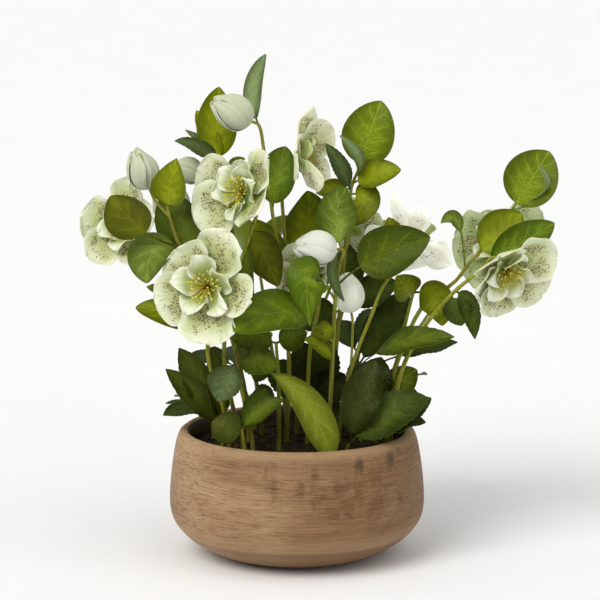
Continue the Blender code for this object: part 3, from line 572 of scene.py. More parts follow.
    def coated(self, paint: Paint, colour: Socket, coats: Sequence, sawn: Socket) -> Socket:
        """Lays coats of colour over each other.

        Args:
            paint: The material's nodes.
            colour: The colour below.
            coats: Each coat's strength as a Map Range node's inputs, whether sawn thins it, and its colour.
            sawn: How much of a coat shows in the plain band round the foot and above it.

        Returns:
            The colour with every coat on it.
        """
        for inputs, thinned, code in coats:
            share = paint.add("MapRange", inputs, **SMOOTH)
            if thinned:
                share = paint.add("Math", (share, sawn), **TIMES)
            colour = paint.add("Mix", {SHARE: share, FIRST: colour, SECOND: linear(code)}, **COLOURS)
        return colour


@dataclass(frozen=True)
class CompostFinish:
    """Glued peat and bark crumbs: nearly black, with paler dry flecks. Sizes are millimetres."""

    dark: str = "1d1709"
    brown: str = "3a2e17"
    dry: str = "6a5636"
    lump: float = 5.0
    fleck: float = 1.1

    def material(self) -> bpy.types.Material:
        """Builds the compost's material over the object's own coordinates.

        Returns:
            The material.
        """
        paint = Paint("peat_compost")
        add = paint.add
        lumps = add("TexNoise", {**SOFT, "Vector": paint.over(*[self.lump] * 3)})
        flecks = add("TexNoise", {**SOFT, "Vector": paint.over(*[self.fleck] * 3), "Roughness": 0.7})
        share = add("MapRange", (lumps, 0.35, 0.65), **SMOOTH)
        colour = add("Mix", {SHARE: share, FIRST: linear(self.dark), SECOND: linear(self.brown)}, **COLOURS)
        share = add("MapRange", (flecks, 0.6, 0.78, 0, 0.7), **SMOOTH)
        colour = add("Mix", {SHARE: share, FIRST: colour, SECOND: linear(self.dry)}, **COLOURS)
        crumbly = add("Bump", {"Height": flecks, "Strength": 0.8, "Distance": 1 * MM})
        return paint.covered({
            "Base Color": colour, "Roughness": 0.95, "Specular IOR Level": 0.2, "Normal": crumbly,
        })


@dataclass(frozen=True)
class FloorFinish:
    """Matt white card, plain and pale, faintly mottled in patches of 160 mm."""

    white: str = "fbfbfa"
    mottle: str = "f8f8f7"
    patch: float = 160.0

    def material(self) -> bpy.types.Material:
        """Builds the floor's material.

        Returns:
            The material.
        """
        paint = Paint("white_card")
        add = paint.add
        faint = add("TexNoise", {**SOFT, "Vector": paint.over(*[self.patch] * 3), "Detail": 1.0})
        colour = add("Mix", {SHARE: faint, FIRST: linear(self.white), SECOND: linear(self.mottle)}, **COLOURS)
        return paint.covered({"Base Color": colour, "Roughness": 0.9})


@dataclass(frozen=True)
class Leaf:
    """A blade that grows from a stem.

    at is the share of the stem's length where it starts and tip is where it ends. face is the way that its
    upper side looks, via bends its midrib and stalk is the share of it that is bare. fat is where it is
    widest, as a share of the blade, for a leaf that differs from the rest.
    """

    at: float
    tip: tuple
    width: float
    face: tuple
    via: tuple | None = None
    stalk: float = 0.12
    arch: float = 0.12
    cup: float = 0.22
    toothed: bool = False
    fat: float = 0.0
    tone: Tone = Tone.GREEN


@dataclass(frozen=True)
class Lobe(Leaf):
    """A toothed blade, dark unless its tone says otherwise."""

    toothed: bool = True
    tone: Tone = Tone.DARK


@dataclass(frozen=True)
class Branch:
    """A side stalk: where it leaves its stem, the points that it runs through, and what it carries."""

    at: float
    route: tuple
    leaves: tuple = ()
    flower: str | None = None


@dataclass(frozen=True)
class Stem:
    """A stem from its foot in the compost: the points that it runs through and what it carries."""

    name: str
    route: tuple
    leaves: tuple = ()
    branches: tuple = ()
    flower: str | None = None
    radius: float = 1.9


@dataclass(frozen=True)
class Flower:
    """An open flower: its seat at its stalk's end, the way it looks and how far it spreads.

    Each of its petals is an angle, a reach, a rise and a width. The angle is clockwise from the top for
    someone who faces the flower. The reach is how far the tip is from the flower's axis, and the rise is how
    far it stands above the seat.
    """

    name: str
    seat: tuple
    looks: tuple
    spread: float
    petals: tuple


@dataclass(frozen=True)
class BudShape:
    """A closed flower: its seat, the way it points, its length and its width."""

    name: str
    seat: tuple
    looks: tuple
    length: float
    width: float


FLOWERS = (
    Flower(
        "front_left", (-65, -68, 223), (-0.36, -0.92, 0.10), 42,
        ((22, 45, 12, 44), (101, 40, 14, 34), (177, 43, 10, 44), (248, 42, 12, 43), (317, 37, 9, 44)),
    ),
    Flower(
        "upper_left", (-38, -45, 290), (-0.68, -0.68, 0.24), 39,
        ((43, 38, 10, 38), (117, 37, 20, 38), (236, 42, 18, 46), (288, 43, 16, 38), (345, 25, 8, 28)),
    ),
    Flower(
        "far_left", (-131, 4, 259), (-0.28, -0.95, 0.10), 36,
        ((2, 38, 10, 29), (70, 25, 12, 34), (155, 30, 10, 33), (229, 38, 12, 32), (280, 35, 13, 40)),
    ),
    Flower(
        "top", (1, 8, 306), (0.94, -0.30, 0.18), 35,
        ((3, 43, 19, 29), (44, 34, 25, 34), (115, 26, 17, 28), (238, 27, 25, 25), (290, 36, 11, 37)),
    ),
    Flower(
        "right", (156, -50, 234), (0.45, -0.75, -0.48), 38,
        ((66, 42, 10, 43), (117, 42, 12, 39), (185, 37, 12, 42), (249, 31, 14, 37), (316, 36, 18, 42)),
    ),
    Flower(
        "right_behind", (160, 34, 240), (-0.22, -0.94, 0.22), 36,
        ((50, 42, 8, 36), (120, 38, 8, 38), (205, 40, 8, 37), (276, 36, 8, 48), (335, 28, 8, 36)),
    ),
    Flower(
        "mid_right", (86, -2, 245), (0.12, 0.82, 0.56), 36,
        (
            (13, 44, 12, 12), (95, 34, 10, 34), (150, 32, 10, 34), (208, 34, 12, 42), (235, 38, 2, 24),
            (338, 31, 10, 20),
        ),
    ),
    Flower(
        "centre", (10, -10, 222), (-0.45, -0.85, 0.3), 25,
        ((35, 25, 12, 28), (105, 20, 10, 24), (180, 22, 10, 26), (250, 25, 12, 28), (325, 26, 12, 28)),
    ),
    Flower(
        "behind", (45, 44, 249), (0.45, 0.75, 0.45), 27,
        ((20, 28, 8, 30), (90, 26, 9, 30), (165, 28, 8, 30), (235, 25, 9, 29), (305, 24, 9, 28)),
    ),
)

BUDS = (
    BudShape("top", (-35, -4, 341), (-0.84, -0.25, 0.48), 35, 28),
    BudShape("far_left", (-113, -12, 290), (-0.36, -0.08, 0.93), 33, 25),
    BudShape("upper_left", (-74, 14, 301), (-0.95, -0.28, 0.06), 24, 22),
    BudShape("centre", (29, -35, 246), (-0.88, -0.40, 0.14), 34, 28),
    BudShape("low", (42, -12, 194), (-0.16, -0.1, 0.97), 32, 25),
    BudShape("left_behind", (-98, 36, 258), (-0.1, 0.1, 0.98), 34, 30),
)

STEMS = (
    Stem(
        "stem_front_left",
        ((-52, -34), (-57, -36, 125), (-68, -50, 170)),
        flower="front_left",
        leaves=(
            Leaf(0.70, (-123, -38, 202), 24, (-0.2, -0.7, 0.7), tone=Tone.OLIVE),
            Leaf(0.78, (-115, -26, 216), 15, (-0.2, -0.7, 0.7), tone=Tone.OLIVE),
        ),
    ),
    Stem(
        "stem_upper_left",
        ((-42, -22), (-50, -25, 123), (-56, -30, 165), (-50, -34, 215), (-34, -36, 262)),
        flower="upper_left",
        leaves=(
            Leaf(0.84, (-14, -24, 216), 28, (0.2, -0.9, 0.3), via=(-30, -22, 248), tone=Tone.MOSS),
            Leaf(0.80, (-34, -22, 200), 14, (-0.4, -0.8, 0.3), tone=Tone.DEEP),
        ),
    ),
    Stem(
        "stem_far_left",
        ((-38, 0), (-44, -3, 147), (-63, -14, 204), (-90, -26, 248), (-99, -28, 278)),
        leaves=(
            Leaf(0.99, (-91, -36, 316), 28, (-0.25, -0.95, 0.1), fat=0.36, tone=Tone.LIME),
            Leaf(0.76, (-102, -2, 285), 36, (0.1, -0.95, 0.3), tone=Tone.DEEP),
            Leaf(
                0.84, (-113, -60, 224), 43, (-0.45, -0.75, 0.5), via=(-114, -46, 262), cup=0.1, fat=0.5,
                tone=Tone.FRESH,
            ),
            Leaf(
                0.86, (-140, -58, 290), 37, (-0.2, -0.97, -0.1), via=(-113, -56, 253), stalk=0.5, fat=0.5,
                tone=Tone.MOSS,
            ),
        ),
        branches=(
            Branch(0.78, ((-108, -2, 246),), flower="far_left"),
            Branch(0.96, ((-108, -20, 281),), flower="far_left_bud"),
        ),
    ),
    Stem(
        "stem_back_left",
        ((-28, 20), (-35, 22, 150), (-45, 22, 220), (-56, 17, 290), (-58, 15, 308)),
        leaves=(
            Leaf(0.99, (-60, 12, 366), 31, (0.1, -0.97, 0.1), via=(-66, 10, 332), tone=Tone.LIME),
            Leaf(0.99, (-78, 20, 347), 15, (0.1, -0.9, 0.1), tone=Tone.LIME),
            Leaf(0.99, (-86, 8, 333), 10, (0, -0.5, 0.85), arch=0.04, tone=Tone.SAGE),
            Lobe(0.97, (-94, -4, 326), 18, (0.1, -0.6, 0.8), tone=Tone.GREY),
            Leaf(0.94, (-40, 4, 311), 15, (0, -0.5, 0.85)),
            Leaf(0.80, (-64, 56, 296), 28, (-0.3, 0.7, 0.6)),
            Leaf(0.70, (-84, 8, 270), 24, (-0.2, -0.9, 0.3), tone=Tone.DEEP),
        ),
        branches=(
            Branch(0.93, ((-64, 17, 301),), flower="upper_left_bud"),
            Branch(0.56, ((-66, 30, 222), (-90, 38, 238)), flower="left_behind_bud"),
        ),
    ),
    Stem(
        "stem_top",
        ((-8, -12), (-6, -10, 150), (-12, -2, 220), (-20, 0, 277), (-26, 0, 322)),
        flower="top_bud",
        leaves=(
            Leaf(0.97, (-24, 14, 391), 16, (-0.4, -0.9, 0.1), via=(-41, 18, 362), tone=Tone.SAGE),
            Leaf(0.73, (-9, 12, 320), 30, (-0.2, -0.95, 0.2)),
        ),
    ),
    Stem(
        "stem_top_centre",
        ((0, 26), (-2, 25, 160), (-8, 18, 230), (-12, 14, 284)),
        flower="top",
        leaves=(
            Leaf(0.64, (8, 22, 284), 36, (0, -0.97, 0.2), via=(16, 22, 254), tone=Tone.OLIVE),
            Leaf(0.60, (-34, 18, 262), 26, (-0.2, -0.95, 0.2), tone=Tone.OLIVE),
        ),
    ),
    Stem(
        "stem_tall_leaf",
        ((26, 12), (30, 12, 150), (36, 10, 220), (42, 6, 287), (48, 8, 303)),
        leaves=(
            Leaf(0.99, (65, 4, 356), 41, (-0.1, -0.97, 0.2), tone=Tone.BRIGHT),
            Leaf(0.97, (33, -14, 331), 11, (0.5, -0.8, 0.2), via=(56, -16, 312), tone=Tone.SAGE),
            Leaf(0.93, (15, -7, 286), 18, (0, -0.8, 0.6), arch=0.05, tone=Tone.OLIVE),
            Leaf(0.95, (80, -8, 304), 23, (0, -0.85, 0.5), tone=Tone.OLIVE),
            Leaf(0.91, (42, -6, 260), 28, (-0.1, -0.95, 0.1), via=(60, -2, 288), tone=Tone.OLIVE),
            Leaf(0.86, (28, 8, 254), 24, (0, -0.9, 0.2), via=(28, 12, 284), tone=Tone.OLIVE),
            Lobe(0.92, (22, -6, 324), 14, (0.3, -0.9, 0.2), tone=Tone.GREY),
        ),
        branches=(Branch(0.72, ((41, 26, 245),), flower="behind"),),
    ),
    Stem(
        "stem_centre_bud",
        ((24, -22), (26, -22, 126), (28, -24, 172), (30, -27, 214), (33, -31, 236)),
        flower="centre_bud",
        leaves=(
            Leaf(
                0.97, (38, -30, 293), 32, (-0.25, -0.95, 0.2), via=(24, -14, 270), cup=-0.2, tone=Tone.FRESH,
            ),
            Leaf(
                0.80, (101, -46, 257), 40, (0, -0.93, 0.37), via=(48, -38, 240), stalk=0.37, tone=Tone.HOLLY,
            ),
            Leaf(0.52, (-47, -88, 192), 38, (-0.05, -0.8, 0.6), via=(4, -62, 224), stalk=0.3, fat=0.56),
            Leaf(0.74, (10, -62, 192), 34, (0, -0.95, 0.2), via=(0, -79, 262), cup=-0.2, stalk=0.3, fat=0.36),
            Leaf(0.97, (36, -46, 208), 10, (0.5, -0.8, 0.3), via=(18, -44, 232), tone=Tone.GREY),
            Leaf(0.62, (14, -36, 180), 16, (0.1, -0.95, 0.3), tone=Tone.OLIVE),
            Leaf(0.48, (6, -42, 178), 17, (0, -0.7, 0.7), tone=Tone.OLIVE),
        ),
    ),
    Stem(
        "stem_mid_right",
        ((33, -8), (39, -12, 137), (47, -14, 164), (57, -15, 190), (67, -15, 215)),
        flower="mid_right",
        leaves=(Leaf(0.90, (70, -22, 269), 20, (0, -0.95, 0.2), tone=Tone.OLIVE),),
        branches=(Branch(0.40, ((43, -12, 172),), flower="low_bud"),),
        radius=1.7,
    ),
    Stem(
        "stem_olive_right",
        ((54, 30), (76, 24, 139), (86, 12, 185), (91, 2, 208)),
        leaves=(
            Leaf(0.97, (77, -12, 222), 24, (0, -0.95, 0.2), tone=Tone.OLIVE),
            Leaf(0.99, (112, -18, 184), 27, (-0.2, -0.9, 0.3), via=(112, -22, 214), tone=Tone.OLIVE),
        ),
    ),
    Stem(
        "stem_right",
        ((73, -14), (81, -16, 147), (99, -22, 185), (120, -30, 212), (140, -34, 230)),
        flower="right",
        leaves=(
            Leaf(0.88, (197, -24, 265), 28, (-0.1, -0.92, 0.35), arch=0.06),
            Lobe(0.72, (126, -40, 188), 22, (0, -0.95, 0.3)),
            Lobe(0.74, (136, -42, 178), 16, (0, -0.95, 0.3), via=(133, -38, 212)),
        ),
    ),
    Stem(
        "stem_right_leaves",
        ((62, 0), (76, 2, 144), (97, -4, 196), (122, -14, 218), (132, -17, 232), (140, -18, 240)),
        leaves=(
            Leaf(0.99, (173, -12, 271), 34, (-0.3, -0.9, 0.3), arch=0.06, tone=Tone.OLIVE),
            Leaf(
                0.92, (110, -32, 266), 11, (0.3, -0.9, 0.2), via=(126, -28, 284), stalk=0.35, tone=Tone.FRESH,
            ),
        ),
        branches=(
            Branch(
                0.97, ((152, -12, 258), (166, -8, 273)),
                leaves=(
                    Leaf(0.99, (194, -6, 318), 42, (-0.1, -0.97, 0.2), tone=Tone.BRIGHT),
                    Leaf(0.98, (184, -22, 309), 10, (0.7, -0.6, 0.2), via=(206, -22, 286), tone=Tone.SAGE),
                ),
            ),
            Branch(0.46, ((106, 20, 190), (128, 42, 212)), flower="right_behind"),
        ),
    ),
    Stem(
        "stem_centre",
        ((8, -16), (10, -14, 163), (17, -13, 200)),
        flower="centre",
    ),
    Stem(
        "stem_rear_left",
        ((-8, 50), (-20, 56, 150), (-30, 60, 215)),
        leaves=(
            Leaf(0.99, (-62, 74, 262), 30, (-0.2, 0.5, 0.8)),
            Leaf(0.96, (-6, 84, 256), 32, (0.1, 0.6, 0.8)),
            Leaf(0.93, (-36, 96, 226), 26, (0, 0.5, 0.85)),
        ),
    ),
    Stem(
        "stem_rear_right",
        ((6, 66), (10, 80, 150), (30, 86, 205)),
        leaves=(
            Leaf(0.99, (84, 78, 234), 30, (0.1, 0.4, 0.9)),
            Leaf(0.97, (48, 124, 224), 30, (0, 0.5, 0.85)),
            Leaf(0.93, (2, 108, 214), 24, (-0.2, 0.4, 0.9)),
        ),
    ),
    Stem(
        "frond_left",
        ((-58, -12), (-60, -14, 106)),
        leaves=(
            Lobe(0.99, (-91, -20, 167), 25, (0.1, -0.95, 0.3), tone=Tone.DUSK),
            Lobe(0.94, (-101, -28, 152), 20, (0.1, -0.9, 0.4), tone=Tone.DUSK),
            Lobe(0.97, (-66, -22, 168), 20, (0.3, -0.9, 0.2), tone=Tone.DUSK),
        ),
    ),
    Stem(
        "frond_over_rim",
        ((-66, 12), (-70, 8, 108)),
        leaves=(
            Lobe(0.99, (-104, -16, 113), 20, (0, -0.45, 0.9)),
            Lobe(0.94, (-98, 42, 116), 17, (0, 0.2, 0.97)),
            Lobe(0.97, (-104, 20, 115), 14, (0, -0.2, 0.97)),
        ),
    ),
    Stem(
        "frond_front_left",
        ((-34, -44), (-42, -50, 140), (-46, -52, 163)),
        leaves=(
            Lobe(0.99, (-60, -64, 134), 27, (-0.2, -0.95, 0.2), tone=Tone.GREY),
            Lobe(0.99, (-14, -62, 160), 24, (0, -0.8, 0.6), tone=Tone.DEEP),
            Leaf(
                0.97, (25, -69, 93), 27, (0.3, -0.85, 0.3), via=(8, -64, 158), stalk=0.25, fat=0.68,
                tone=Tone.SPRING,
            ),
        ),
    ),
    Stem(
        "frond_centre_left",
        ((-14, -30), (-14, -31, 140), (-16, -32, 174)),
        leaves=(
            Lobe(0.99, (-50, -42, 178), 24, (0, -0.85, 0.5), tone=Tone.DEEP),
            Lobe(0.99, (8, -36, 182), 22, (0, -0.9, 0.3), tone=Tone.DEEP),
            Lobe(0.8, (-36, -24, 156), 28, (0, -0.95, 0.3), tone=Tone.DEEP),
            Lobe(0.5, (-36, -14, 128), 24, (0, -0.95, 0.3), tone=Tone.DEEP),
        ),
    ),
    Stem(
        "frond_low_left",
        ((-40, -52), (-42, -52, 110)),
        leaves=(
            Lobe(0.99, (-10, -56, 134), 18, (0.1, -0.6, 0.8), tone=Tone.DEEP),
            Leaf(0.85, (-65, -50, 115), 26, (0.1, -0.9, 0.4), tone=Tone.DUSK),
            Lobe(0.94, (-24, -44, 140), 18, (0.1, -0.9, 0.4), tone=Tone.DEEP),
        ),
    ),
    Stem(
        "frond_middle",
        ((14, 10), (15, 10, 126)),
        leaves=(
            Lobe(0.99, (2, 12, 166), 29, (0, -0.97, 0.2), tone=Tone.SHADE),
            Lobe(0.97, (24, 6, 170), 27, (0.1, -0.97, 0.2), tone=Tone.SHADE),
            Lobe(0.92, (-24, 12, 148), 30, (0, -0.95, 0.3)),
            Lobe(0.90, (38, 2, 142), 28, (0, -0.95, 0.3), tone=Tone.SHADE),
            Lobe(0.55, (42, 3, 114), 25, (0, -0.95, 0.3), tone=Tone.SHADE),
        ),
    ),
    Stem(
        "frond_low_right",
        ((38, -48), (40, -49, 98)),
        leaves=(
            Lobe(0.99, (99, -46, 134), 35, (-0.3, -0.8, 0.5)),
            Lobe(0.99, (60, -42, 162), 30, (-0.2, -0.95, 0.3), tone=Tone.SHADE),
        ),
    ),
    Stem(
        "frond_right",
        ((68, -32), (70, -32, 102)),
        leaves=(
            Lobe(0.99, (104, -22, 128), 22, (-0.2, -0.7, 0.7)),
            Lobe(0.94, (99, -42, 113), 20, (0, -0.4, 0.9)),
        ),
    ),
    Stem(
        "frond_right_olive",
        ((66, 14), (71, 12, 124)),
        leaves=(
            Leaf(0.99, (94, 6, 145), 25, (0, -0.9, 0.4), tone=Tone.BRIGHT),
            Lobe(0.9, (96, 10, 124), 20, (0, -0.6, 0.8)),
            Lobe(0.99, (104, 40, 134), 20, (0, 0.2, 0.97)),
        ),
    ),
    Stem(
        "frond_upright",
        ((50, 0), (51, 0, 116)),
        leaves=(
            Lobe(0.99, (66, 0, 156), 32, (0, -0.97, 0.1), tone=Tone.SHADE),
            Lobe(0.95, (45, 6, 154), 20, (0.1, -0.97, 0.1)),
            Lobe(0.8, (74, -6, 116), 24, (0, -0.9, 0.3)),
        ),
    ),
    Stem(
        "frond_large_right",
        ((46, 20), (48, 16, 146)),
        leaves=(
            Lobe(0.99, (89, 34, 203), 30, (-0.3, -0.8, 0.5), arch=0.03),
            Lobe(0.97, (120, -44, 180), 24, (0, -0.7, 0.7), via=(66, -34, 178), stalk=0.3, tone=Tone.DEEP),
            Lobe(0.93, (126, 10, 166), 18, (0, -0.5, 0.85), via=(84, 8, 160), stalk=0.45),
        ),
    ),
    Stem(
        "frond_tall_dark",
        ((14, 34), (26, 34, 150), (38, 28, 194)),
        leaves=(
            Lobe(0.99, (79, 22, 212), 26, (0, -0.9, 0.4)),
            Lobe(0.99, (40, 26, 242), 27, (0, -0.95, 0.1)),
            Lobe(0.95, (-2, 32, 180), 28, (0, -0.9, 0.3)),
        ),
    ),
    Stem(
        "frond_back_left",
        ((-34, 46), (-44, 54, 124), (-50, 58, 138)),
        leaves=(
            Lobe(0.99, (-90, 64, 142), 24, (0, -0.3, 0.95)),
            Lobe(0.99, (-62, 96, 144), 24, (0, 0.1, 0.97)),
            Lobe(0.98, (-22, 98, 158), 24, (0.2, 0, 0.95)),
        ),
    ),
    Stem(
        "frond_back_right",
        ((40, 50), (46, 56, 130), (50, 58, 148)),
        leaves=(
            Lobe(0.99, (96, 62, 166), 24, (0, -0.3, 0.95)),
            Lobe(0.99, (68, 104, 176), 24, (0, -0.3, 0.95)),
            Lobe(0.98, (20, 98, 168), 24, (-0.2, 0, 0.95)),
        ),
    ),
)

HELD = {flower.name: flower for flower in FLOWERS}
HELD.update({f"{bud.name}_bud": bud for bud in BUDS})


@dataclass
class Sheet:
    """A curved sheet: a grid of points on its middle, and what its finish reads there.

    place holds how far across (-1 to 1) and along (0 to 1) each point is, and the sheet's own shade. spread
    holds millimetres across and along, and a number of the sheet's own.
    """

    points: np.ndarray
    place: np.ndarray
    spread: np.ndarray
    thick: float
    finish: int = 0

    def unit_normals(self) -> np.ndarray:
        """The way that the upper side looks at each point of the grid."""
        return unit(np.cross(np.gradient(self.points, axis=1), np.gradient(self.points, axis=0)))


@dataclass
class SheetMesh:
    """Gathers sheets into one mesh. crease is the least angle that stays sharp, in degrees."""

    name: str
    crease: float = 62.0
    points: list = field(default_factory=list)
    place: list = field(default_factory=list)
    spread: list = field(default_factory=list)
    under: list = field(default_factory=list)
    faces: list = field(default_factory=list)
    finishes: list = field(default_factory=list)
    count: int = 0

    def add(self, sheet: Sheet) -> None:
        """Adds both sides of a sheet and the rim that closes them.

        Args:
            sheet: The sheet.
        """
        rows, columns = sheet.points.shape[:2]
        size = rows * columns
        lift = sheet.unit_normals() * (sheet.thick / 2)
        grid = np.arange(size).reshape(rows, columns) + self.count
        top = np.stack([grid[:-1, :-1], grid[:-1, 1:], grid[1:, 1:], grid[1:, :-1]], axis=2).reshape(-1, 4)
        rim = np.concatenate([grid[0, :-1], grid[:-1, -1], grid[-1, :0:-1], grid[:0:-1, 0]])
        after = np.roll(rim, -1)
        sides = np.stack([rim, rim + size, after + size, after], axis=1)
        faces = np.concatenate([top, top[:, ::-1] + size, sides])
        self.points += [(sheet.points + lift).reshape(-1, 3), (sheet.points - lift).reshape(-1, 3)]
        self.place += [sheet.place.reshape(-1, 3)] * 2
        self.spread += [sheet.spread.reshape(-1, 3)] * 2
        self.under += [np.zeros(size), np.ones(size)]
        self.faces.append(faces)
        self.finishes.append(np.full(len(faces), sheet.finish))
        self.count += 2 * size

    def object(
        self, materials: Sequence[bpy.types.Material], matrix: Matrix | None = None
    ) -> bpy.types.Object:
        """Builds the mesh.

        Args:
            materials: The finishes, in the order of the sheets' numbers.
            matrix: Where the sheets are placed, in millimetres.

        Returns:
            A new object at the origin.
        """
        mesh = bpy.data.meshes.new(self.name)
        points = np.concatenate(self.points)
        if matrix is not None:
            turn = np.array(matrix)
            points = points @ turn[:3, :3].T + turn[:3, 3]
        mesh.from_pydata((points * MM).tolist(), [], np.concatenate(self.faces).tolist())
        for title, values in (("place", self.place), ("spread", self.spread)):
            layer = mesh.attributes.new(title, "FLOAT_VECTOR", "POINT")
            layer.data.foreach_set("vector", np.concatenate(values).astype(np.float32).ravel())
        layer = mesh.attributes.new("under", "FLOAT", "POINT")
        layer.data.foreach_set("value", np.concatenate(self.under).astype(np.float32))
        for material in materials:
            mesh.materials.append(material)
        mesh.polygons.foreach_set("material_index", np.concatenate(self.finishes).astype(np.int32))
        mesh.shade_smooth()
        mesh.set_sharp_from_angle(angle=math.radians(self.crease))
        return linked(self.name, mesh)


def linked(name: str, mesh: bpy.types.Mesh) -> bpy.types.Object:
    """Makes an object of a mesh.

    Args:
        name: The object's name.
        mesh: Its mesh.

    Returns:
        The object, linked to the scene.
    """
    made = bpy.data.objects.new(name, mesh)
    bpy.context.scene.collection.objects.link(made)
    return made


def settled(made: bpy.types.Object, matrix: Matrix | None = None, crease: float = 50.0) -> bpy.types.Object:
    """Turns what the object's modifiers make into its own plain mesh.

    Args:
        made: The object, whose modifiers are removed.
        matrix: Where the mesh is then placed.
        crease: The least angle that stays sharp, in degrees.

    Returns:
        The same object.
    """
    graph = bpy.context.evaluated_depsgraph_get()
    evaluated = made.evaluated_get(graph)
    mesh = bpy.data.meshes.new_from_object(evaluated, preserve_all_data_layers=True, depsgraph=graph)
    made.modifiers.clear()
    made.data = mesh
    if matrix is not None:
        mesh.transform(matrix)
    mesh.shade_smooth()
    mesh.set_sharp_from_angle(angle=math.radians(crease))
    return made


def shaped_by(made: bpy.types.Object, tree: bpy.types.NodeTree, **values: object) -> bpy.types.Object:
    """Gives the object a Geometry Nodes modifier and sets its named inputs.

    Args:
        made: The object to shape.
        tree: The node tree.
        **values: The tree's inputs by name.

    Returns:
        The same object.
    """
    modifier = made.modifiers.new(tree.name, "NODES")
    modifier.node_group = tree
    for item in tree.interface.items_tree:
        if item.in_out == "INPUT" and item.name in values:
            modifier[item.identifier] = values[item.name]
    return made


def new_tree(name: str, inputs: dict[str, str]) -> tuple[bpy.types.NodeTree, bpy.types.NodeOutputs]:
    """Starts a Geometry Nodes tree.

    Args:
        name: The tree's name.
        inputs: Each input's name and its kind of socket.

    Returns:
        The tree, and its inputs' sockets by name.
    """
    tree = bpy.data.node_groups.new(name, "GeometryNodeTree")
    tree.interface.new_socket(name="Geometry", in_out="OUTPUT", socket_type="NodeSocketGeometry")
    for title, kind in inputs.items():
        tree.interface.new_socket(name=title, in_out="INPUT", socket_type=f"NodeSocket{kind}")
    return tree, add_node(tree, "NodeGroupInput").node.outputs


def end_tree(tree: bpy.types.NodeTree, geometry: Socket, material: Socket | None = None) -> None:
    """Ends a tree in Realize Instances, Set Material where one is given, and the group's output.

    Args:
        tree: The tree.
        geometry: What it has made.
        material: The material for all of it.
    """
    last = add_node(tree, "GeometryNodeRealizeInstances", (geometry,))
    if material is not None:
        last = add_node(tree, "GeometryNodeSetMaterial", {"Geometry": last, "Material": material})
    add_node(tree, "NodeGroupOutput", (last,))


def in_millimetres(matrix: Matrix) -> Matrix:
    """A matrix whose lengths are millimetres, made to place a mesh in metres."""
    scale = Matrix.Scale(MM, 4)
    return scale @ matrix @ scale.inverted()


def joined(name: str, parts: Sequence[bpy.types.Object]) -> bpy.types.Object:
    """Makes one object of several, which keep their materials and attributes.

    Args:
        name: The object's name.
        parts: What it is made of.

    Returns:
        The object.
    """
    with bpy.context.temp_override(active_object=parts[0], selected_editable_objects=list(parts)):
        bpy.ops.object.join()
    parts[0].name = name
    parts[0].data.name = name
    return parts[0]


def hermite(a: Vector, b: Vector, slope_a: Vector, slope_b: Vector, t: float) -> Vector:
    """The point at t of a smooth curve from a to b."""
    start = a * (2 * t**3 - 3 * t**2 + 1) + slope_a * (t**3 - 2 * t**2 + t)
    return start + b * (3 * t**2 - 2 * t**3) + slope_b * (t**3 - t**2)


def smooth_line(
    stops: list[Vector], step: float, first_slope: Vector | None = None, finer: int = 1
) -> list[Vector]:
    """Points along a smooth curve through the stops.

    Args:
        stops: The points that it runs through.
        step: Its length between points, roughly.
        first_slope: The way that it sets off.
        finer: How many times as many points it has as that step gives.

    Returns:
        The points, the first and last stops among them.
    """
    last = len(stops) - 1
    slopes = [stops[min(i + 1, last)] - stops[max(i - 1, 0)] for i in range(last + 1)]
    if first_slope:
        slopes[0] = first_slope
    line = [stops[0]]
    for i in range(last):
        reach = (stops[i + 1] - stops[i]).length
        parts = max(1, round(reach / step)) * finer
        leave, arrive = slopes[i].normalized() * reach, slopes[i + 1].normalized() * reach
        line += [hermite(stops[i], stops[i + 1], leave, arrive, (k + 1) / parts) for k in range(parts)]
    return line


def along_line(line: list[Vector], share: float) -> Vector:
    """Finds a point on a line.

    Args:
        line: The line's points.
        share: How far along it the point is, as a share of its length.

    Returns:
        The point.
    """
    lengths = [(b - a).length for a, b in zip(line[:-1], line[1:])]
    left = share * sum(lengths)
    for a, b, length in zip(line[:-1], line[1:], lengths):
        if left <= length:
            return a.lerp(b, left / length)
        left -= length
    return line[-1].copy()


def egg(s: np.ndarray, base_power: float, tip_power: float) -> np.ndarray:
    """Draws an egg-shaped outline.

    Args:
        s: Shares of its length.
        base_power: How slowly it widens from its base.
        tip_power: How slowly it narrows to its tip.

    Returns:
        Its half width there, from 0 to 1.
    """
    widest = base_power / (base_power + tip_power)
    top = widest**base_power * (1 - widest) ** tip_power
    return s**base_power * (1 - s) ** tip_power / top


def bezier(a: Sequence[float], b: Sequence[float], c: Sequence[float], u: np.ndarray) -> np.ndarray:
    """Points at u of the curve from a to c that b draws aside."""
    u = u[:, None]
    return np.array(a) * (1 - u) ** 2 + np.array(b) * (2 * u * (1 - u)) + np.array(c) * u**2


def unit(rows: np.ndarray) -> np.ndarray:
    """Each row at a length of 1."""
    return rows / np.maximum(np.linalg.norm(rows, axis=-1, keepdims=True), 1e-9)


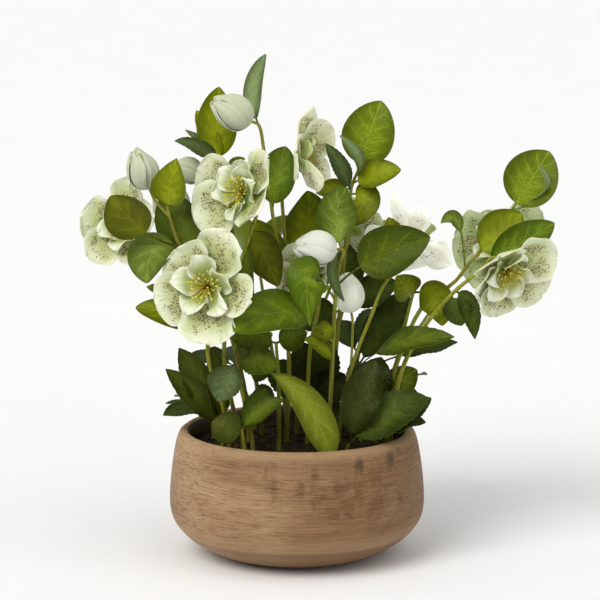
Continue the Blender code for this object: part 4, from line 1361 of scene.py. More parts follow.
@dataclass
class Ribbon:
    """A blade along a midrib: what leaves and petals share.

    line holds the midrib's points, half the half width at each and share how far along each is. face is the
    way that the upper side looks, and bulge how far the edges stand above the midrib for each half width. Its
    columns are set closer at the edges, as the sine of a little less than a quarter turn.
    """

    line: np.ndarray
    face: np.ndarray
    half: np.ndarray
    share: np.ndarray
    bulge: float
    columns: int
    thick: float
    quarter: float = math.pi / 2 * 0.92

    def sheet(self, relief: Callable, edge: np.ndarray, shade: float, number: float, finish: int) -> Sheet:
        """Spreads the blade out to both sides of its midrib.

        Args:
            relief: Gives the height in millimetres over the plain blade at shares across and along.
            edge: How much further than the half width the edge reaches at each row, as a share of it.
            shade: The blade's own shade, from 0 to 1.
            number: The blade's own number, which sets its patterns off from the others'.
            finish: The number of its material.

        Returns:
            The sheet.
        """
        v = np.sin(np.linspace(-1, 1, self.columns + 1) * self.quarter) / math.sin(self.quarter)
        along = unit(np.gradient(self.line, axis=0))
        normal = unit(self.face - along * (along @ self.face)[:, None])
        side = np.cross(along, normal)
        across = v[None, :] * self.half[:, None] * (1 + edge[:, None] * v[None, :] ** 4)
        v_grid = np.broadcast_to(v, across.shape)
        u_grid = np.broadcast_to(self.share[:, None], across.shape)
        height = self.bulge * self.half[:, None] * v_grid**2 + relief(v_grid, u_grid, across)
        points = self.line[:, None, :] + side[:, None, :] * across[..., None]
        points = points + normal[:, None, :] * height[..., None]
        run = np.concatenate([[0], np.cumsum(np.linalg.norm(np.diff(self.line, axis=0), axis=1))])
        run = np.broadcast_to(run[:, None], across.shape)
        place = np.stack([v_grid, u_grid, np.full(across.shape, shade)], axis=2)
        spread = np.stack([across, run, np.full(across.shape, number * APART)], axis=2)
        return Sheet(points, place, spread, self.thick, finish)


@dataclass
class LeafBlade:
    """One leaf's fine blade: a stalk, a waved outline with or without teeth, and ribs pressed into it.

    Lengths are millimetres. wave and plain_wave are how high the edge waves, as a share of the half width,
    with and without teeth, and outline and plain_outline shape it. tooth gives the three rows of a tooth: how
    far along it and how far out.
    """

    leaf: Leaf
    root: Vector
    number: int
    thick: float = 0.6
    rows: int = 24
    columns: int = 10
    stalk_rows: int = 4
    teeth: int = 11
    tooth: tuple = ((0, -0.5), (0.4, 0.15), (0.8, 0.7))
    tooth_depth: float = 0.06
    least: float = 0.75
    point: float = 0.3
    outline: tuple = (0.75, 0.85)
    plain_outline: tuple = (0.6, 0.75)
    wave: float = 0.12
    plain_wave: float = 0.07
    side_veins: float = 6.0
    vein_slant: float = 0.22
    vein_height: float = 0.28
    groove_depth: float = 0.45
    groove_width: float = 1.4

    def stations(self) -> tuple[np.ndarray, np.ndarray]:
        """Lays out the blade's rows.

        Returns:
            Each row's share of the way from the stalk's end to the tip, and how far its tooth stands out.
        """
        if not self.leaf.toothed:
            s = (1 - np.cos(np.linspace(0, math.pi, self.rows + 1))) / 2
            return s, np.zeros(len(s))
        steps = [(k + part, depth) for k in range(self.teeth) for part, depth in self.tooth]
        s, depth = np.array([*steps, (self.teeth, 0)]).T
        s = s / self.teeth
        return s, depth * self.tooth_depth * np.minimum(1, 4 * s * (1.1 - s) + 0.2)

    def midrib(self, face: Vector, u: np.ndarray) -> np.ndarray:
        """Bends the midrib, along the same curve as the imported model's.

        Args:
            face: The way that the blade's upper side looks.
            u: The rows' shares of the curve.

        Returns:
            The rows' points.
        """
        leaf, tip = self.leaf, Vector(self.leaf.tip)
        if leaf.via:
            return bezier(self.root, Vector(leaf.via), tip, u)
        chord = tip - self.root
        flat = (face - chord * face.dot(chord) / chord.length_squared).normalized()
        return bezier(self.root, self.root.lerp(tip, 0.5) + flat * (2 * leaf.arch * chord.length), tip, u)

    def sheet(self, finish: int) -> Sheet:
        """Builds the blade.

        Args:
            finish: The number of its material.

        Returns:
            The blade as a sheet.
        """
        leaf = self.leaf
        chance = random.Random(self.number * 7 + 3)
        s, teeth = self.stations()
        powers = self.outline if leaf.toothed else self.plain_outline
        if leaf.fat:
            powers = (1.5 * leaf.fat, 1.5 * (1 - leaf.fat))
        half = np.maximum(leaf.width / 2 * egg(s, *powers), self.least)
        half[-1] = self.point
        bare = np.linspace(0, 1, self.stalk_rows + 1)[:-1] * leaf.stalk
        u = np.concatenate([bare, leaf.stalk + (1 - leaf.stalk) * s])
        half = np.concatenate([np.full(self.stalk_rows, self.least), half])
        edge = np.concatenate([np.zeros(self.stalk_rows), teeth])
        open_share = np.clip((u - leaf.stalk) / (1 - leaf.stalk), 0, 1)
        wave = (self.wave if leaf.toothed else self.plain_wave) * leaf.width / 2
        turns = chance.uniform(1.2, 2.1) if leaf.toothed else chance.uniform(0.7, 1.3)
        left, right = chance.uniform(0, 6.28), chance.uniform(0, 6.28)

        def relief(v: np.ndarray, share: np.ndarray, across: np.ndarray) -> np.ndarray:
            """Gives the blade its waved edge, its pressed side veins and the groove over its midrib.

            Args:
                v: Shares across, from -1 to 1.
                share: Shares along.
                across: Millimetres across.

            Returns:
                The height over the plain blade.
            """
            side = np.abs(v)
            spread = np.clip(half[:, None] / (leaf.width / 2), 0, 1)
            phase = np.where(v < 0, left, right)
            waved = wave * side**3 * np.sin(math.tau * turns * open_share[:, None] + phase) * spread
            veins = np.cos(math.tau * (self.side_veins * (share - self.vein_slant * side**0.8) - 0.5))
            ribs = self.vein_height * veins * side * (1 - side) * 2.4
            groove = -self.groove_depth * np.exp(-((across / self.groove_width) ** 2))
            return waved + (ribs + groove) * spread

        face = Vector(leaf.face).normalized()
        ribbon = Ribbon(self.midrib(face, u), np.array(face), half, u, leaf.cup, self.columns, self.thick)
        return ribbon.sheet(relief, edge, chance.random(), self.number, finish)


@dataclass
class LeafyStem:
    """A stem with its side stalks and leaves, which stands in the compost.

    Lengths are millimetres. It stands upright from its foot to its collar. finer and stalk_finer are how many
    points its line and its side stalks' lines have for each step, knot is how much it swells at knot_at, a
    share of its length, and knot_reach is how far along that runs.
    """

    stem: Stem
    number: int
    foot: float = 70.3
    collar: float = 92.0
    step: float = 38.0
    finer: int = 5
    stalk_step: float = 22.0
    stalk_finer: int = 4
    tip_share: float = 0.62
    flower_neck: float = 14.0
    bud_neck: float = 7.0
    seat_gap: float = 0.3
    sides: int = 8
    knot: float = 0.12
    knot_at: float = 0.55
    knot_reach: float = 0.02

    def neck(self, flower: str | None) -> list[Vector]:
        """Ends a stalk square to its flower.

        Args:
            flower: The name of the flower or bud that it carries, if any.

        Returns:
            The stalk's last two points, just short of the flower's seat, or none.
        """
        if not flower:
            return []
        held = HELD[flower]
        seat, looks = Vector(held.seat), Vector(held.looks).normalized()
        neck = self.bud_neck if isinstance(held, BudShape) else self.flower_neck
        return [seat - looks * neck, seat - looks * self.seat_gap]

    def build(
        self, tube: bpy.types.NodeTree, stalk: bpy.types.Material, leaves: dict[Tone, bpy.types.Material]
    ) -> bpy.types.Object:
        """Builds the stem's stalks and leaves as one object.

        Args:
            tube: The node tree that gives a line its round section.
            stalk: The stalks' material.
            leaves: The leaves' materials by tone.

        Returns:
            The object, which carries the stem's name.
        """
        stem = self.stem
        foot = Vector((*stem.route[0], self.foot))
        collar = Vector((*stem.route[0], self.collar))
        stops = [collar, *map(Vector, stem.route[1:]), *self.neck(stem.flower)]
        up = Vector((0, 0, 1))
        line = [foot] + smooth_line(stops, self.step, up)
        thin = stem.radius * self.tip_share
        runs = [([foot] + smooth_line(stops, self.step, up, self.finer), stem.radius, thin)]
        blades = SheetMesh(f"{stem.name}_leaves")
        tones: list[Tone] = []
        grown = [(leaf, along_line(line, leaf.at)) for leaf in stem.leaves]
        for branch in stem.branches:
            points = [along_line(line, branch.at), *map(Vector, branch.route), *self.neck(branch.flower)]
            runs.append((smooth_line(points, self.stalk_step, None, self.stalk_finer), thin, thin))
            side = smooth_line(points, self.stalk_step)
            grown += [(leaf, along_line(side, leaf.at)) for leaf in branch.leaves]
        for k, (leaf, root) in enumerate(grown):
            if leaf.tone not in tones:
                tones.append(leaf.tone)
            blades.add(LeafBlade(leaf, root, self.number * 10 + k).sheet(tones.index(leaf.tone)))
        parts = [self.stalks(runs, tube, stalk)]
        if grown:
            parts.append(blades.object([leaves[tone] for tone in tones]))
        return joined(f"grown_{stem.name}", parts)

    def stalks(
        self, runs: Sequence[tuple], tube: bpy.types.NodeTree, finish: bpy.types.Material
    ) -> bpy.types.Object:
        """Builds the round stalks.

        Args:
            runs: For each stalk its line and its radius at its foot and at its end.
            tube: The node tree that gives a line its round section.
            finish: The stalks' material.

        Returns:
            The stalks as one object.
        """
        points, edges, radii = [], [], []
        for line, radius, end in runs:
            first = len(points)
            points += [p * MM for p in line]
            edges += [(first + k, first + k + 1) for k in range(len(line) - 1)]
            shares = np.linspace(0, 1, len(line))
            knots = 1 + self.knot * np.exp(-(((shares - self.knot_at) / self.knot_reach) ** 2))
            radii += list((radius + (end - radius) * shares) * knots * MM)
        mesh = bpy.data.meshes.new(self.stem.name)
        mesh.from_pydata(points, edges, [])
        layer = mesh.attributes.new("thick", "FLOAT", "POINT")
        layer.data.foreach_set("value", radii)
        return settled(shaped_by(linked(self.stem.name, mesh), tube, Sides=self.sides, Material=finish))


def stalk_tree() -> bpy.types.NodeTree:
    """Builds the tree that gives every line of edges a round section, as wide as its points say.

    Returns:
        The tree.
    """
    tree, given = new_tree("stalk_section", {"Geometry": "Geometry", "Sides": "Int", "Material": "Material"})
    add = partial(add_node, tree)
    curve = add("GeometryNodeMeshToCurve", (given["Geometry"],))
    ring = add("GeometryNodeCurvePrimitiveCircle", {"Resolution": given["Sides"], "Radius": 1.0})
    thick = add("GeometryNodeInputNamedAttribute", {"Name": "thick"}, data_type="FLOAT")
    section = {"Curve": curve, "Profile Curve": ring, "Scale": thick, "Fill Caps": True}
    end_tree(tree, add("GeometryNodeCurveToMesh", section), given["Material"])
    return tree


@dataclass
class Bloom:
    """An open flower: broad ruffled petals round short ones with turned edges.

    Lengths are millimetres, and a foot is a petal's start as a radius and a height. lean is how far a petal's
    face is tipped sideways, in degrees, bulge how far its edges stand up for each half width, and ruffle how
    high they wave. bend is where the middle of a petal's curve lies, as shares of its reach and its rise, and
    inner_width is a share of the flower's spread.
    """

    flower: Flower
    seed: int
    thick: float = 0.6
    core: tuple = ((3, 0), (6.4, 1.3), (6, 3.2))
    core_sides: int = 16
    outer_foot: tuple = (3.4, 1.8)
    inner_foot: tuple = (4.2, 2.7)
    outer_lean: float = 9.0
    inner_lean: float = -14.0
    bend: tuple = (0.62, 0.22)
    outer_bulge: float = 0.16
    inner_bulge: float = 0.2
    outer_ruffle: float = 0.075
    inner_ruffle: float = 0.15
    outer_rows: int = 19
    inner_rows: int = 13
    columns: int = 14
    inner_width: float = 0.54

    def matrix(self) -> Matrix:
        """Where the flower stands, in millimetres."""
        return placing(self.flower.seat, self.flower.looks)

    def petal(self, end: tuple, width: float, angle: float, inner: bool, number: int) -> Sheet:
        """Builds one petal.

        Args:
            end: Its end as a radius and a height.
            width: Its width.
            angle: Its place about the flower's axis, in degrees.
            inner: Whether it is one of the short ones.
            number: Its own number.

        Returns:
            The petal as a sheet.
        """
        foot = self.inner_foot if inner else self.outer_foot
        lean = math.radians(self.inner_lean if inner else self.outer_lean)
        rows = self.inner_rows if inner else self.outer_rows
        chance = random.Random(number * 13 + 5)
        turn = Matrix.Rotation(math.radians(angle), 3, "Z")
        middle = (end[0] * self.bend[0], foot[1] + (end[1] - foot[1]) * self.bend[1])
        stops = [turn @ Vector((radius, 0, height)) for radius, height in (foot, middle, end)]
        face = turn @ Vector((0, math.sin(lean), math.cos(lean)))
        u = np.sin(np.linspace(0, math.pi / 2, rows + 1)) * 0.6 + np.linspace(0, 1, rows + 1) * 0.4
        half = width / 2 * egg(0.02 + 0.975 * u, 0.85, chance.uniform(0.48, 0.64))
        ruffle = (self.inner_ruffle if inner else self.outer_ruffle) * width / 2
        turns = chance.uniform(1.4, 2.0)
        left, right, tip = [chance.uniform(0, math.tau) for _ in range(3)]
        curl = chance.uniform(0.25, 0.5) if inner else chance.uniform(-0.05, 0.08)

        def relief(v: np.ndarray, share: np.ndarray, across: np.ndarray) -> np.ndarray:
            """Gives the petal its ruffled edge, its turned rim and faint ridges that fan out from its base.

            Args:
                v: Shares across, from -1 to 1.
                share: Shares along.
                across: Millimetres across, not used.

            Returns:
                The height over the plain petal.
            """
            side = np.abs(v)
            phase = np.where(v < 0, left, right)
            rim = np.clip(side**3 + np.clip(share - 0.6, 0, 1) ** 2 * 3, 0, 1.3)
            ruffled = ruffle * rim * np.sin(math.tau * turns * share + phase) * np.clip(share * 3, 0, 1)
            ruffled = ruffled + ruffle * 0.8 * np.clip(share - 0.7, 0, 1) * 3.3 * np.sin(v * 4.5 + tip)
            ridges = 0.16 * np.cos(v * 9.0 + left) * share * (1.1 - share)
            return ruffled + ridges - curl * width / 2 * np.clip(share - 0.72, 0, 1) ** 2 * 12

        bulge = self.inner_bulge if inner else self.outer_bulge
        ribbon = Ribbon(bezier(*stops, u), np.array(face), half, u, bulge, self.columns, self.thick)
        edge = 0.03 * np.sin(u * 17 + left)
        return ribbon.sheet(relief, edge, chance.random(), number, 1 if inner else 0)

    def build(self, outer: bpy.types.Material, inner: bpy.types.Material) -> bpy.types.Object:
        """Builds the petals and the core that they grow from.

        Args:
            outer: The broad petals' material.
            inner: The short petals' material.

        Returns:
            The flower's object.
        """
        flower = self.flower
        chance = random.Random(self.seed)
        sheets = SheetMesh(f"flower_{flower.name}")
        for k, (angle, reach, rise, width) in enumerate(flower.petals):
            sheets.add(self.petal((reach, rise), width, 90 - angle, False, self.seed * 20 + k))
        angles = [petal[0] for petal in flower.petals]
        for k, (angle, after) in enumerate(zip(angles, angles[1:] + [angles[0] + 360])):
            middle = (angle + after) / 2 + chance.uniform(-6, 6)
            end = (flower.spread * chance.uniform(0.46, 0.54), flower.spread * chance.uniform(0.42, 0.5))
            width = flower.spread * self.inner_width
            sheets.add(self.petal(end, width, 90 - middle, True, self.seed * 20 + 10 + k))
        petals = sheets.object([outer, inner], self.matrix())
        core = turned("core", 0, self.core, self.core[-1][1], self.core_sides)
        core.transform(in_millimetres(self.matrix()))
        core.materials.append(inner)
        core.shade_smooth()
        return joined(petals.name, [petals, linked("core", core)])


def placing(seat: Sequence[float], looks: Sequence[float]) -> Matrix:
    """The matrix, in millimetres, that stands a flower made about +Z on its seat, its +Y side up."""
    return Matrix.Translation(Vector(seat)) @ Vector(looks).to_track_quat("Z", "Y").to_matrix().to_4x4()


def turned(
    name: str, base: float, profile: Sequence[tuple], top: float, sides: int, rise: Callable | None = None
) -> bpy.types.Mesh:
    """Turns a solid about Z.

    Args:
        name: The mesh's name.
        base: The height of its middle below.
        profile: Radius and height along its side.
        top: The height of its middle above.
        sides: How many flats it has.
        rise: What is added to a point's height, from its place and height.

    Returns:
        The closed mesh, in metres.
    """
    points = [(0, 0, base)]
    for radius, height in profile:
        for k in range(sides):
            angle = math.tau * k / sides
            x, y = radius * math.cos(angle), radius * math.sin(angle)
            points.append((x, y, height + (rise(x, y, height) if rise else 0)))
    points.append((0, 0, top))
    last = len(points) - 1
    faces = []
    for k in range(sides):
        after = (k + 1) % sides
        faces.append((0, 1 + after, 1 + k))
        for i in range(len(profile) - 1):
            low, high = 1 + i * sides, 1 + (i + 1) * sides
            faces.append((low + k, low + after, high + after, high + k))
        faces.append((last - sides + k, last - sides + after, last))
    mesh = bpy.data.meshes.new(name)
    mesh.from_pydata([Vector(p) * MM for p in points], [], faces)
    return mesh


@dataclass
class StamenTuft:
    """The tuft of stamens in a flower: filaments that lean out, each under an anther.

    length is a share of the flower's spread. dome is the radius of the spiral that they stand in and seat its
    height over the flower's seat, in millimetres.
    """

    flower: Flower
    seed: int
    count: int = 36
    length: float = 0.36
    dome: float = 2.3
    seat: float = 3.5

    def build(
        self, tree: bpy.types.NodeTree, filament: bpy.types.Material, anther: bpy.types.Material
    ) -> bpy.types.Object:
        """Builds the tuft.

        Args:
            tree: The node tree that plants the stamens.
            filament: The filaments' material.
            anther: The anthers' material.

        Returns:
            The tuft's object.
        """
        name = f"stamen_tuft_{self.flower.name}"
        made = linked(name, bpy.data.meshes.new(name))
        shaped_by(
            made, tree, Count=self.count, Length=self.flower.spread * self.length * MM, Seed=self.seed,
            Dome=self.dome * MM, Seat=self.seat * MM, Filament=filament, Anther=anther,
        )
        return settled(made, in_millimetres(placing(self.flower.seat, self.flower.looks)))


def stamen_tree() -> bpy.types.NodeTree:
    """Builds the tree that plants stamens in a spiral, leaning further out towards its edge.

    Returns:
        The tree.
    """
    inputs = {"Count": "Int", "Length": "Float", "Seed": "Int", "Dome": "Float", "Seat": "Float"}
    tree, given = new_tree("stamen_tuft", {**inputs, "Filament": "Material", "Anther": "Material"})
    add = partial(add_node, tree)
    per_point = {"data_type": "FLOAT", "domain": "POINT"}

    # One stamen, 1 long: a filament that bows out, and the anther at its end
    cone = {"Vertices": 5, "Side Segments": 4, "Radius Top": 0.022, "Radius Bottom": 0.036, "Depth": 1.0}
    rod = add("GeometryNodeMeshCone", cone)
    height = add("ShaderNodeSeparateXYZ", (add("GeometryNodeInputPosition"),), 2)
    squared = add("ShaderNodeMath", (height, 2.0), operation="POWER")
    bowed = add("ShaderNodeMath", (squared, 0.16), **TIMES)
    rod = add("GeometryNodeSetPosition", {"Geometry": rod, "Offset": add("ShaderNodeCombineXYZ", (bowed,))})
    stored = {"Geometry": rod, "Name": "rise", "Value": height}
    rod = add("GeometryNodeStoreNamedAttribute", stored, **per_point)
    rod = add("GeometryNodeSetMaterial", {"Geometry": rod, "Material": given["Filament"]})
    pod = add("GeometryNodeMeshUVSphere", {"Segments": 6, "Rings": 4, "Radius": 1.0})
    laid = {"Translation": (0.16, 0, 1.0), "Scale": (0.062, 0.056, 0.085), "Rotation": (0, 0.9, 0)}
    pod = add("GeometryNodeTransform", {"Geometry": pod, **laid})
    stored = {"Geometry": pod, "Name": "rise", "Value": 1.0}
    pod = add("GeometryNodeStoreNamedAttribute", stored, **per_point)
    pod = add("GeometryNodeSetMaterial", {"Geometry": pod, "Material": given["Anther"]})
    stamen = add("GeometryNodeJoinGeometry", ([rod, pod],))

    # Where each one stands, by its number
    index = add("GeometryNodeInputIndex")
    counted = add("ShaderNodeMath", (index, 0.5), operation="ADD")
    share = add("ShaderNodeMath", (counted, given["Count"]), operation="DIVIDE")
    outward = add("ShaderNodeMath", (share, 0.5), operation="POWER")
    angle = add("ShaderNodeMath", (index, GOLDEN_ANGLE), **TIMES)
    radius = add("ShaderNodeMath", (outward, given["Dome"]), **TIMES)
    cosine = add("ShaderNodeMath", (angle,), operation="COSINE")
    sine = add("ShaderNodeMath", (angle,), operation="SINE")
    x = add("ShaderNodeMath", (radius, cosine), **TIMES)
    y = add("ShaderNodeMath", (radius, sine), **TIMES)
    place = add("ShaderNodeCombineXYZ", (x, y, given["Seat"]))
    points = add("GeometryNodePoints", {"Count": given["Count"], "Position": place})

    # How each one leans and how long it is
    jitter = add("FunctionNodeRandomValue", {2: -0.12, 3: 0.12, "Seed": given["Seed"]}, 1, data_type="FLOAT")
    lean = add("ShaderNodeMath", (outward, 0.72, jitter), **TIMES_PLUS)
    turn = add("FunctionNodeEulerToRotation", (add("ShaderNodeCombineXYZ", {1: lean, 2: angle}),))
    seed = add("ShaderNodeMath", (given["Seed"], 50.0), operation="ADD")
    size = add("FunctionNodeRandomValue", {2: 0.72, 3: 1.05, "Seed": seed}, 1, data_type="FLOAT")
    size = add("ShaderNodeMath", (size, given["Length"]), **TIMES)
    planted = {"Points": points, "Instance": stamen, "Rotation": turn, "Scale": size}
    end_tree(tree, add("GeometryNodeInstanceOnPoints", planted))
    return tree


@dataclass
class Bud:
    """A closed flower: petals wrapped round each other over a plump core.

    twist is how far a petal winds round the bud, in radians, and pleat how deep its pleats are beside a full
    one's. powers shape the bud's outline. The core is core_width as wide as the bud, with rings at
    core_rings.
    """

    shape: BudShape
    number: int
    thick: float = 0.6
    petals: int = 5
    twist: float = 0.9
    pleat: float = 1.0
    rows: int = 22
    columns: int = 24
    powers: tuple = (0.5, 0.66)
    core_width: float = 0.82
    core_rings: tuple = (0.05, 0.15, 0.3, 0.45, 0.6, 0.75, 0.86)
    core_sides: int = 16

    def build(self, petal: bpy.types.Material) -> bpy.types.Object:
        """Builds the bud.

        Args:
            petal: The petals' material.

        Returns:
            The bud's object.
        """
        bud = self.shape
        sheets = SheetMesh(f"wrapped_bud_{bud.name}")
        chance = random.Random(self.number + 41)
        for k in range(self.petals):
            sheets.add(self.wrapped(k, chance))
        made = sheets.object([petal], placing(bud.seat, bud.looks))
        plump = bud.width / 2 * self.core_width
        rows = [(plump * float(egg(np.array(s), *self.powers)), bud.length * s) for s in self.core_rings]
        core = turned("core", bud.length * 0.01, rows, bud.length * 0.9, self.core_sides)
        core.transform(in_millimetres(placing(bud.seat, bud.looks)))
        core.materials.append(petal)
        core.shade_smooth()
        return joined(made.name, [made, linked("core", core)])

    def wrapped(self, k: int, chance: random.Random) -> Sheet:
        """Wraps one petal round the bud, pleated and a little flared at its tip.

        Args:
            k: Which petal it is.
            chance: Where its random numbers come from.

        Returns:
            The petal as a sheet.
        """
        bud = self.shape
        v = np.linspace(-1, 1, self.columns + 1)[None, :]
        t = ((1 - np.cos(np.linspace(0, math.pi, self.rows + 1))) / 2)[:, None]
        t = 0.01 + 0.972 * t
        spread = math.radians(chance.uniform(50, 58))
        reach = chance.uniform(0.93, 1.0)
        narrow = 1 - 0.3 * np.clip((t - 0.6) / 0.4, 0, 1)
        angle = math.tau * k / self.petals + v * spread * narrow + self.twist * t
        pleats = 0.04 * np.cos(v * 9 + k) + 0.03 * np.cos(v * 21 - k)
        layer = 0.9 + 0.095 * v + self.pleat * pleats * np.sqrt(t) * (1.1 - 0.5 * t)
        flare = 1.8 * np.clip((t - 0.75) / 0.25, 0, 1) ** 2 * np.sin(v * 4.6 + k * 2.1)
        radius = bud.width / 2 * egg(t, *self.powers) * layer + 0.5 * v * t + flare
        height = bud.length * (t * reach + 0.04 * t**4 * np.cos(v * 2.4)) + 0 * v
        points = np.stack([radius * np.cos(angle), radius * np.sin(angle), height], axis=2)
        place = np.stack([v + 0 * t, t + 0 * v, np.full(radius.shape, chance.random())], axis=2)
        number = np.full(radius.shape, (self.number * 5 + k) * APART)
        run = np.stack([v * spread * radius, height, number], axis=2)
        return Sheet(points[:, ::-1], place[:, ::-1], run[:, ::-1], self.thick)


@dataclass
class Bowl:
    """The low turned wooden bowl: radius and height along its outside and its inside, in millimetres."""

    outside: tuple = (
        (44, 0), (54, 1.4), (69, 6), (84, 14.5), (93, 23), (98.3, 32), (100, 44), (98.6, 66), (95, 89),
        (92, 97.5), (88.5, 100),
    )
    inside: tuple = ((84.6, 97.5), (84, 89), (90, 50), (82, 25), (45, 9.5))
    floor: float = 9.0
    sides: int = 128
    step: float = 3.0

    def build(self, wood: bpy.types.Material) -> bpy.types.Object:
        """Builds the bowl from its profile, smoothed.

        Args:
            wood: Its material.

        Returns:
            The bowl's object.
        """
        line = smooth_line([Vector((r, z, 0)) for r, z in self.outside + self.inside], self.step)
        mesh = turned("turned_bowl", 0, [(p.x, p.y) for p in line], self.floor, self.sides)
        mesh.materials.append(wood)
        mesh.shade_smooth()
        return linked("turned_bowl", mesh)


@dataclass
class Compost:
    """The compost that fills the bowl, with loose crumbs over it.

    Lengths are millimetres: the profile's radii and heights, how far the surface is mounded, how high its
    lumps and its fine roughness stand, and a crumb's size. density is how many crumbs a square metre has.
    """

    base: float = 9.3
    profile: tuple = ((44.1, 9.8), (81.1, 25.3), (89.1, 50.3), (83.1, 87.0))
    mound: float = 3.5
    lump: float = 1.2
    rough: float = 0.35
    rings: int = 24
    sides: int = 96
    density: float = 70000.0
    crumb: float = 1.15
    seed: int = 5

    def rise(self, x: float, y: float, height: float) -> float:
        """Makes the surface uneven.

        Args:
            x: How far to the right a place is.
            y: How far back it is.
            height: Its mean height.

        Returns:
            How far the surface stands above that.
        """
        if height <= self.profile[-1][1]:
            return 0
        broad = self.lump * (math.sin(x * 0.21 + y * 0.13) + math.sin(y * 0.24 - x * 0.09)) / 2
        return broad + self.rough * math.sin(x * 1.1 + y * 0.7) * math.sin(y * 1.3 - x * 0.5)

    def build(self, tree: bpy.types.NodeTree, peat: bpy.types.Material) -> bpy.types.Object:
        """Builds the compost.

        Args:
            tree: The node tree that strews the crumbs.
            peat: Its material.

        Returns:
            The compost's object.
        """
        edge, level = self.profile[-1]
        rows = list(self.profile)
        for k in range(1, self.rings):
            rows.append((edge * (1 - k / self.rings), level + self.mound * k / self.rings))
        mesh = turned("compost_bed", self.base, rows, level + self.mound, self.sides, self.rise)
        made = linked("compost_bed", mesh)
        shaped_by(made, tree, Density=self.density, Crumb=self.crumb * MM, Seed=self.seed, Material=peat)
        return settled(made)


def crumb_tree() -> bpy.types.NodeTree:
    """Builds the tree that strews crumbs and bark chips over the faces that look up.

    Returns:
        The tree.
    """
    inputs = {"Geometry": "Geometry", "Density": "Float", "Crumb": "Float", "Seed": "Int"}
    tree, given = new_tree("compost_crumbs", {**inputs, "Material": "Material"})
    add = partial(add_node, tree)
    upward = add("ShaderNodeSeparateXYZ", (add("GeometryNodeInputNormal"),), 2)
    bare = add("FunctionNodeCompare", (upward, 0.6), data_type="FLOAT", operation="GREATER_THAN")
    spots = {"Mesh": given["Geometry"], "Selection": bare, "Density": given["Density"], "Seed": given["Seed"]}
    strewn = add("GeometryNodeDistributePointsOnFaces", spots)
    crumb = add("GeometryNodeMeshIcoSphere", {"Radius": 1.0, "Subdivisions": 1})
    sizes = {0: (0.5, 0.5, 0.4), 1: (1.6, 2.4, 1.0), "Seed": given["Seed"]}
    size = add("FunctionNodeRandomValue", sizes, data_type="FLOAT_VECTOR")
    size = add("ShaderNodeVectorMath", {0: size, "Scale": given["Crumb"]}, operation="SCALE")
    turn = add("FunctionNodeRandomValue", ((0, 0, 0), (math.tau,) * 3), data_type="FLOAT_VECTOR")
    turn = add("FunctionNodeEulerToRotation", (turn,))
    placed = {"Points": strewn, "Instance": crumb, "Rotation": turn, "Scale": size}
    crumbs = add("GeometryNodeInstanceOnPoints", placed)
    end_tree(tree, add("GeometryNodeJoinGeometry", ([given["Geometry"], crumbs],)), given["Material"])
    return tree


@dataclass
class Studio:
    """The plain pale floor, the soft lights and the camera.

    Lengths are metres, except the camera's lens and sensor in millimetres. Each sun is a name, how bright it
    is, how wide it looks and how it is turned from straight down, in degrees.
    """

    floor_radius: float = 14.0
    floor_sides: int = 48
    floor_height: float = -0.0004
    surround: float = 0.27
    suns: tuple = (
        ("overhead", 0.85, 110, (8, 0, 0)), ("key", 2.0, 35, (50, 0, -36)), ("fill", 0.65, 70, (62, 0, 50)),
    )
    aim: tuple = (0.0024, 0.0, 0.2012)
    distance: float = 2.0
    elevation: float = 9.5
    lens: float = 154.2
    sensor: float = 36.0
    sight: float = 100.0

    def build(self, floor: bpy.types.Material) -> None:
        """Builds the floor, the lights and the camera.

        Args:
            floor: The floor's material.
        """
        mesh = bpy.data.meshes.new("floor")
        angles = [math.tau * k / self.floor_sides for k in range(self.floor_sides)]
        radius = self.floor_radius
        ring = [(radius * math.cos(a), radius * math.sin(a), self.floor_height) for a in angles]
        mesh.from_pydata(ring, [], [tuple(range(self.floor_sides))])
        mesh.materials.append(floor)
        linked("floor", mesh)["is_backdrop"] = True
        self.sky()
        for name, strength, softness, turn in self.suns:
            self.sun(name, strength, softness, turn)
        self.camera()

    def sky(self) -> None:
        """Surrounds the scene with plain white."""
        world = bpy.data.worlds.new("studio")
        bpy.context.scene.world = world
        world.use_nodes = True
        shade = world.node_tree.nodes["Background"]
        shade.inputs["Color"].default_value = (1, 1, 1, 1)
        shade.inputs["Strength"].default_value = self.surround

    def sun(self, name: str, strength: float, softness: float, turn: Sequence[float]) -> None:
        """Adds a broad soft light from one side.

        Args:
            name: Its name.
            strength: How bright it is.
            softness: How wide it looks, in degrees.
            turn: The way that it is turned from straight down, in degrees.
        """
        light = bpy.data.lights.new(name, "SUN")
        light.energy = strength
        light.angle = math.radians(softness)
        lamp = bpy.data.objects.new(name, light)
        lamp.rotation_euler = [math.radians(a) for a in turn]
        bpy.context.scene.collection.objects.link(lamp)

    def camera(self) -> None:
        """Adds the camera at the picture's angle."""
        raised = math.radians(self.elevation)
        away = Vector((0, -math.cos(raised), math.sin(raised)))
        data = bpy.data.cameras.new("camera")
        data.lens = self.lens
        data.sensor_width = self.sensor
        data.clip_end = self.sight
        seen = bpy.data.objects.new("camera", data)
        seen.location = Vector(self.aim) + away * self.distance
        seen.rotation_euler = (-away).to_track_quat("-Z", "Y").to_euler()
        bpy.context.scene.collection.objects.link(seen)
        bpy.context.scene.camera = seen


def dress(made: bpy.types.Object, node: str) -> None:
    """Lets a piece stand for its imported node, and reports it.

    Args:
        made: The piece.
        node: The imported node's name.
    """
    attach(made, BODY)
    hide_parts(node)
    LOG.info("%s: %d faces", made.name, len(made.data.polygons))


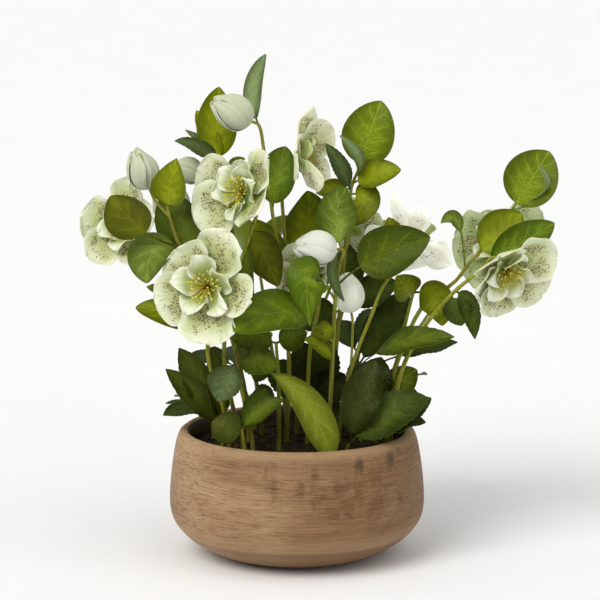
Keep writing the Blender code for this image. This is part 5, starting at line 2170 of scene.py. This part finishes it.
def main() -> None:
    """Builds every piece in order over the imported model."""
    logging.basicConfig(level=logging.INFO, format="%(message)s")
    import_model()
    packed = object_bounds()
    bpy.context.scene.view_settings.view_transform = "Standard"
    leaves = {tone: LeafFinish(tone).material() for tone in Tone}
    stalk = StalkFinish().material()

    # Copies of the petal cloth carry painted light and shade. At the top the cloth glows by itself, a
    # painted glow for light through it; behind another bloom it is darker, painted shade; and where a
    # bloom's back faces the light it is near white, scarcely speckled and glowing, painted light. The short
    # petals are plainer and greener, and closed buds are pale; the centre and low buds have a lighter copy
    # that glows, the low one most, painted light.
    petal = PetalFinish().material()
    high = PetalFinish("glowing_petal_cloth", "98a65c", "c8cc94", "ecedd4", "d8dab8", lift=0.14).material()
    shaded = PetalFinish("shaded_petal_cloth", "66803e", "9cac72", "c8d0a8", "a8b482").material()
    lit = PetalFinish(
        "lit_petal_cloth", "bcc890", "e6ead0", "f6f8ea", "f6f8ea", speckles=0.08, glow=0.05, lift=0.2
    ).material()
    short = PetalFinish("inner_petal_cloth", "8a9e48", "b0bb78", "eef0dc", "b8c286", speckles=0.0).material()
    wrapped = PetalFinish(
        "bud_cloth", "94a070", "c2c6a8", "dcdfcc", "c2c6a8", speckles=0.0, streaks=0.8
    ).material()
    pale = PetalFinish(
        "glowing_bud_cloth", "acb490", "d4d6c6", "e8e9de", "d4d6c6", speckles=0.0, glow=0.1, lift=0.06
    )
    buds = {"centre": pale.material(), "low": replace(pale, title="glowing_low_bud_cloth", lift=0.2).material()}

    # Filaments have a red-brown foot, and the anthers are a little lighter
    filament = StamenFinish("flocked_filament", "7a3a1c", "c2b638").material()
    anther = StamenFinish("flocked_anther", "8a5a14", "d4c848").material()

    dress(Bowl().build(WoodFinish().material()), "bowl")
    dress(Compost().build(crumb_tree(), CompostFinish().material()), "compost")
    tube = stalk_tree()
    for k, stem in enumerate(STEMS):
        dress(LeafyStem(stem, k).build(tube, stalk, leaves), stem.name)
    tuft = stamen_tree()
    for seed, flower in enumerate(FLOWERS):
        outer = {"right_behind": shaded, "mid_right": lit, "top": high}.get(flower.name, petal)
        dress(Bloom(flower, seed).build(outer, short), f"bloom_{flower.name}")
        dress(StamenTuft(flower, seed).build(tuft, filament, anther), f"stamens_{flower.name}")
    for k, bud in enumerate(BUDS):
        pleat = 0.3 if bud.name in buds else 1.0
        dress(Bud(bud, k, pleat=pleat).build(buds.get(bud.name, wrapped)), f"bud_{bud.name}")
    Studio().build(FloorFinish().material())
    [[list(map(float, corner)) for corner in box] for box in (packed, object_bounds())]


if __name__ == "__main__":
    main()
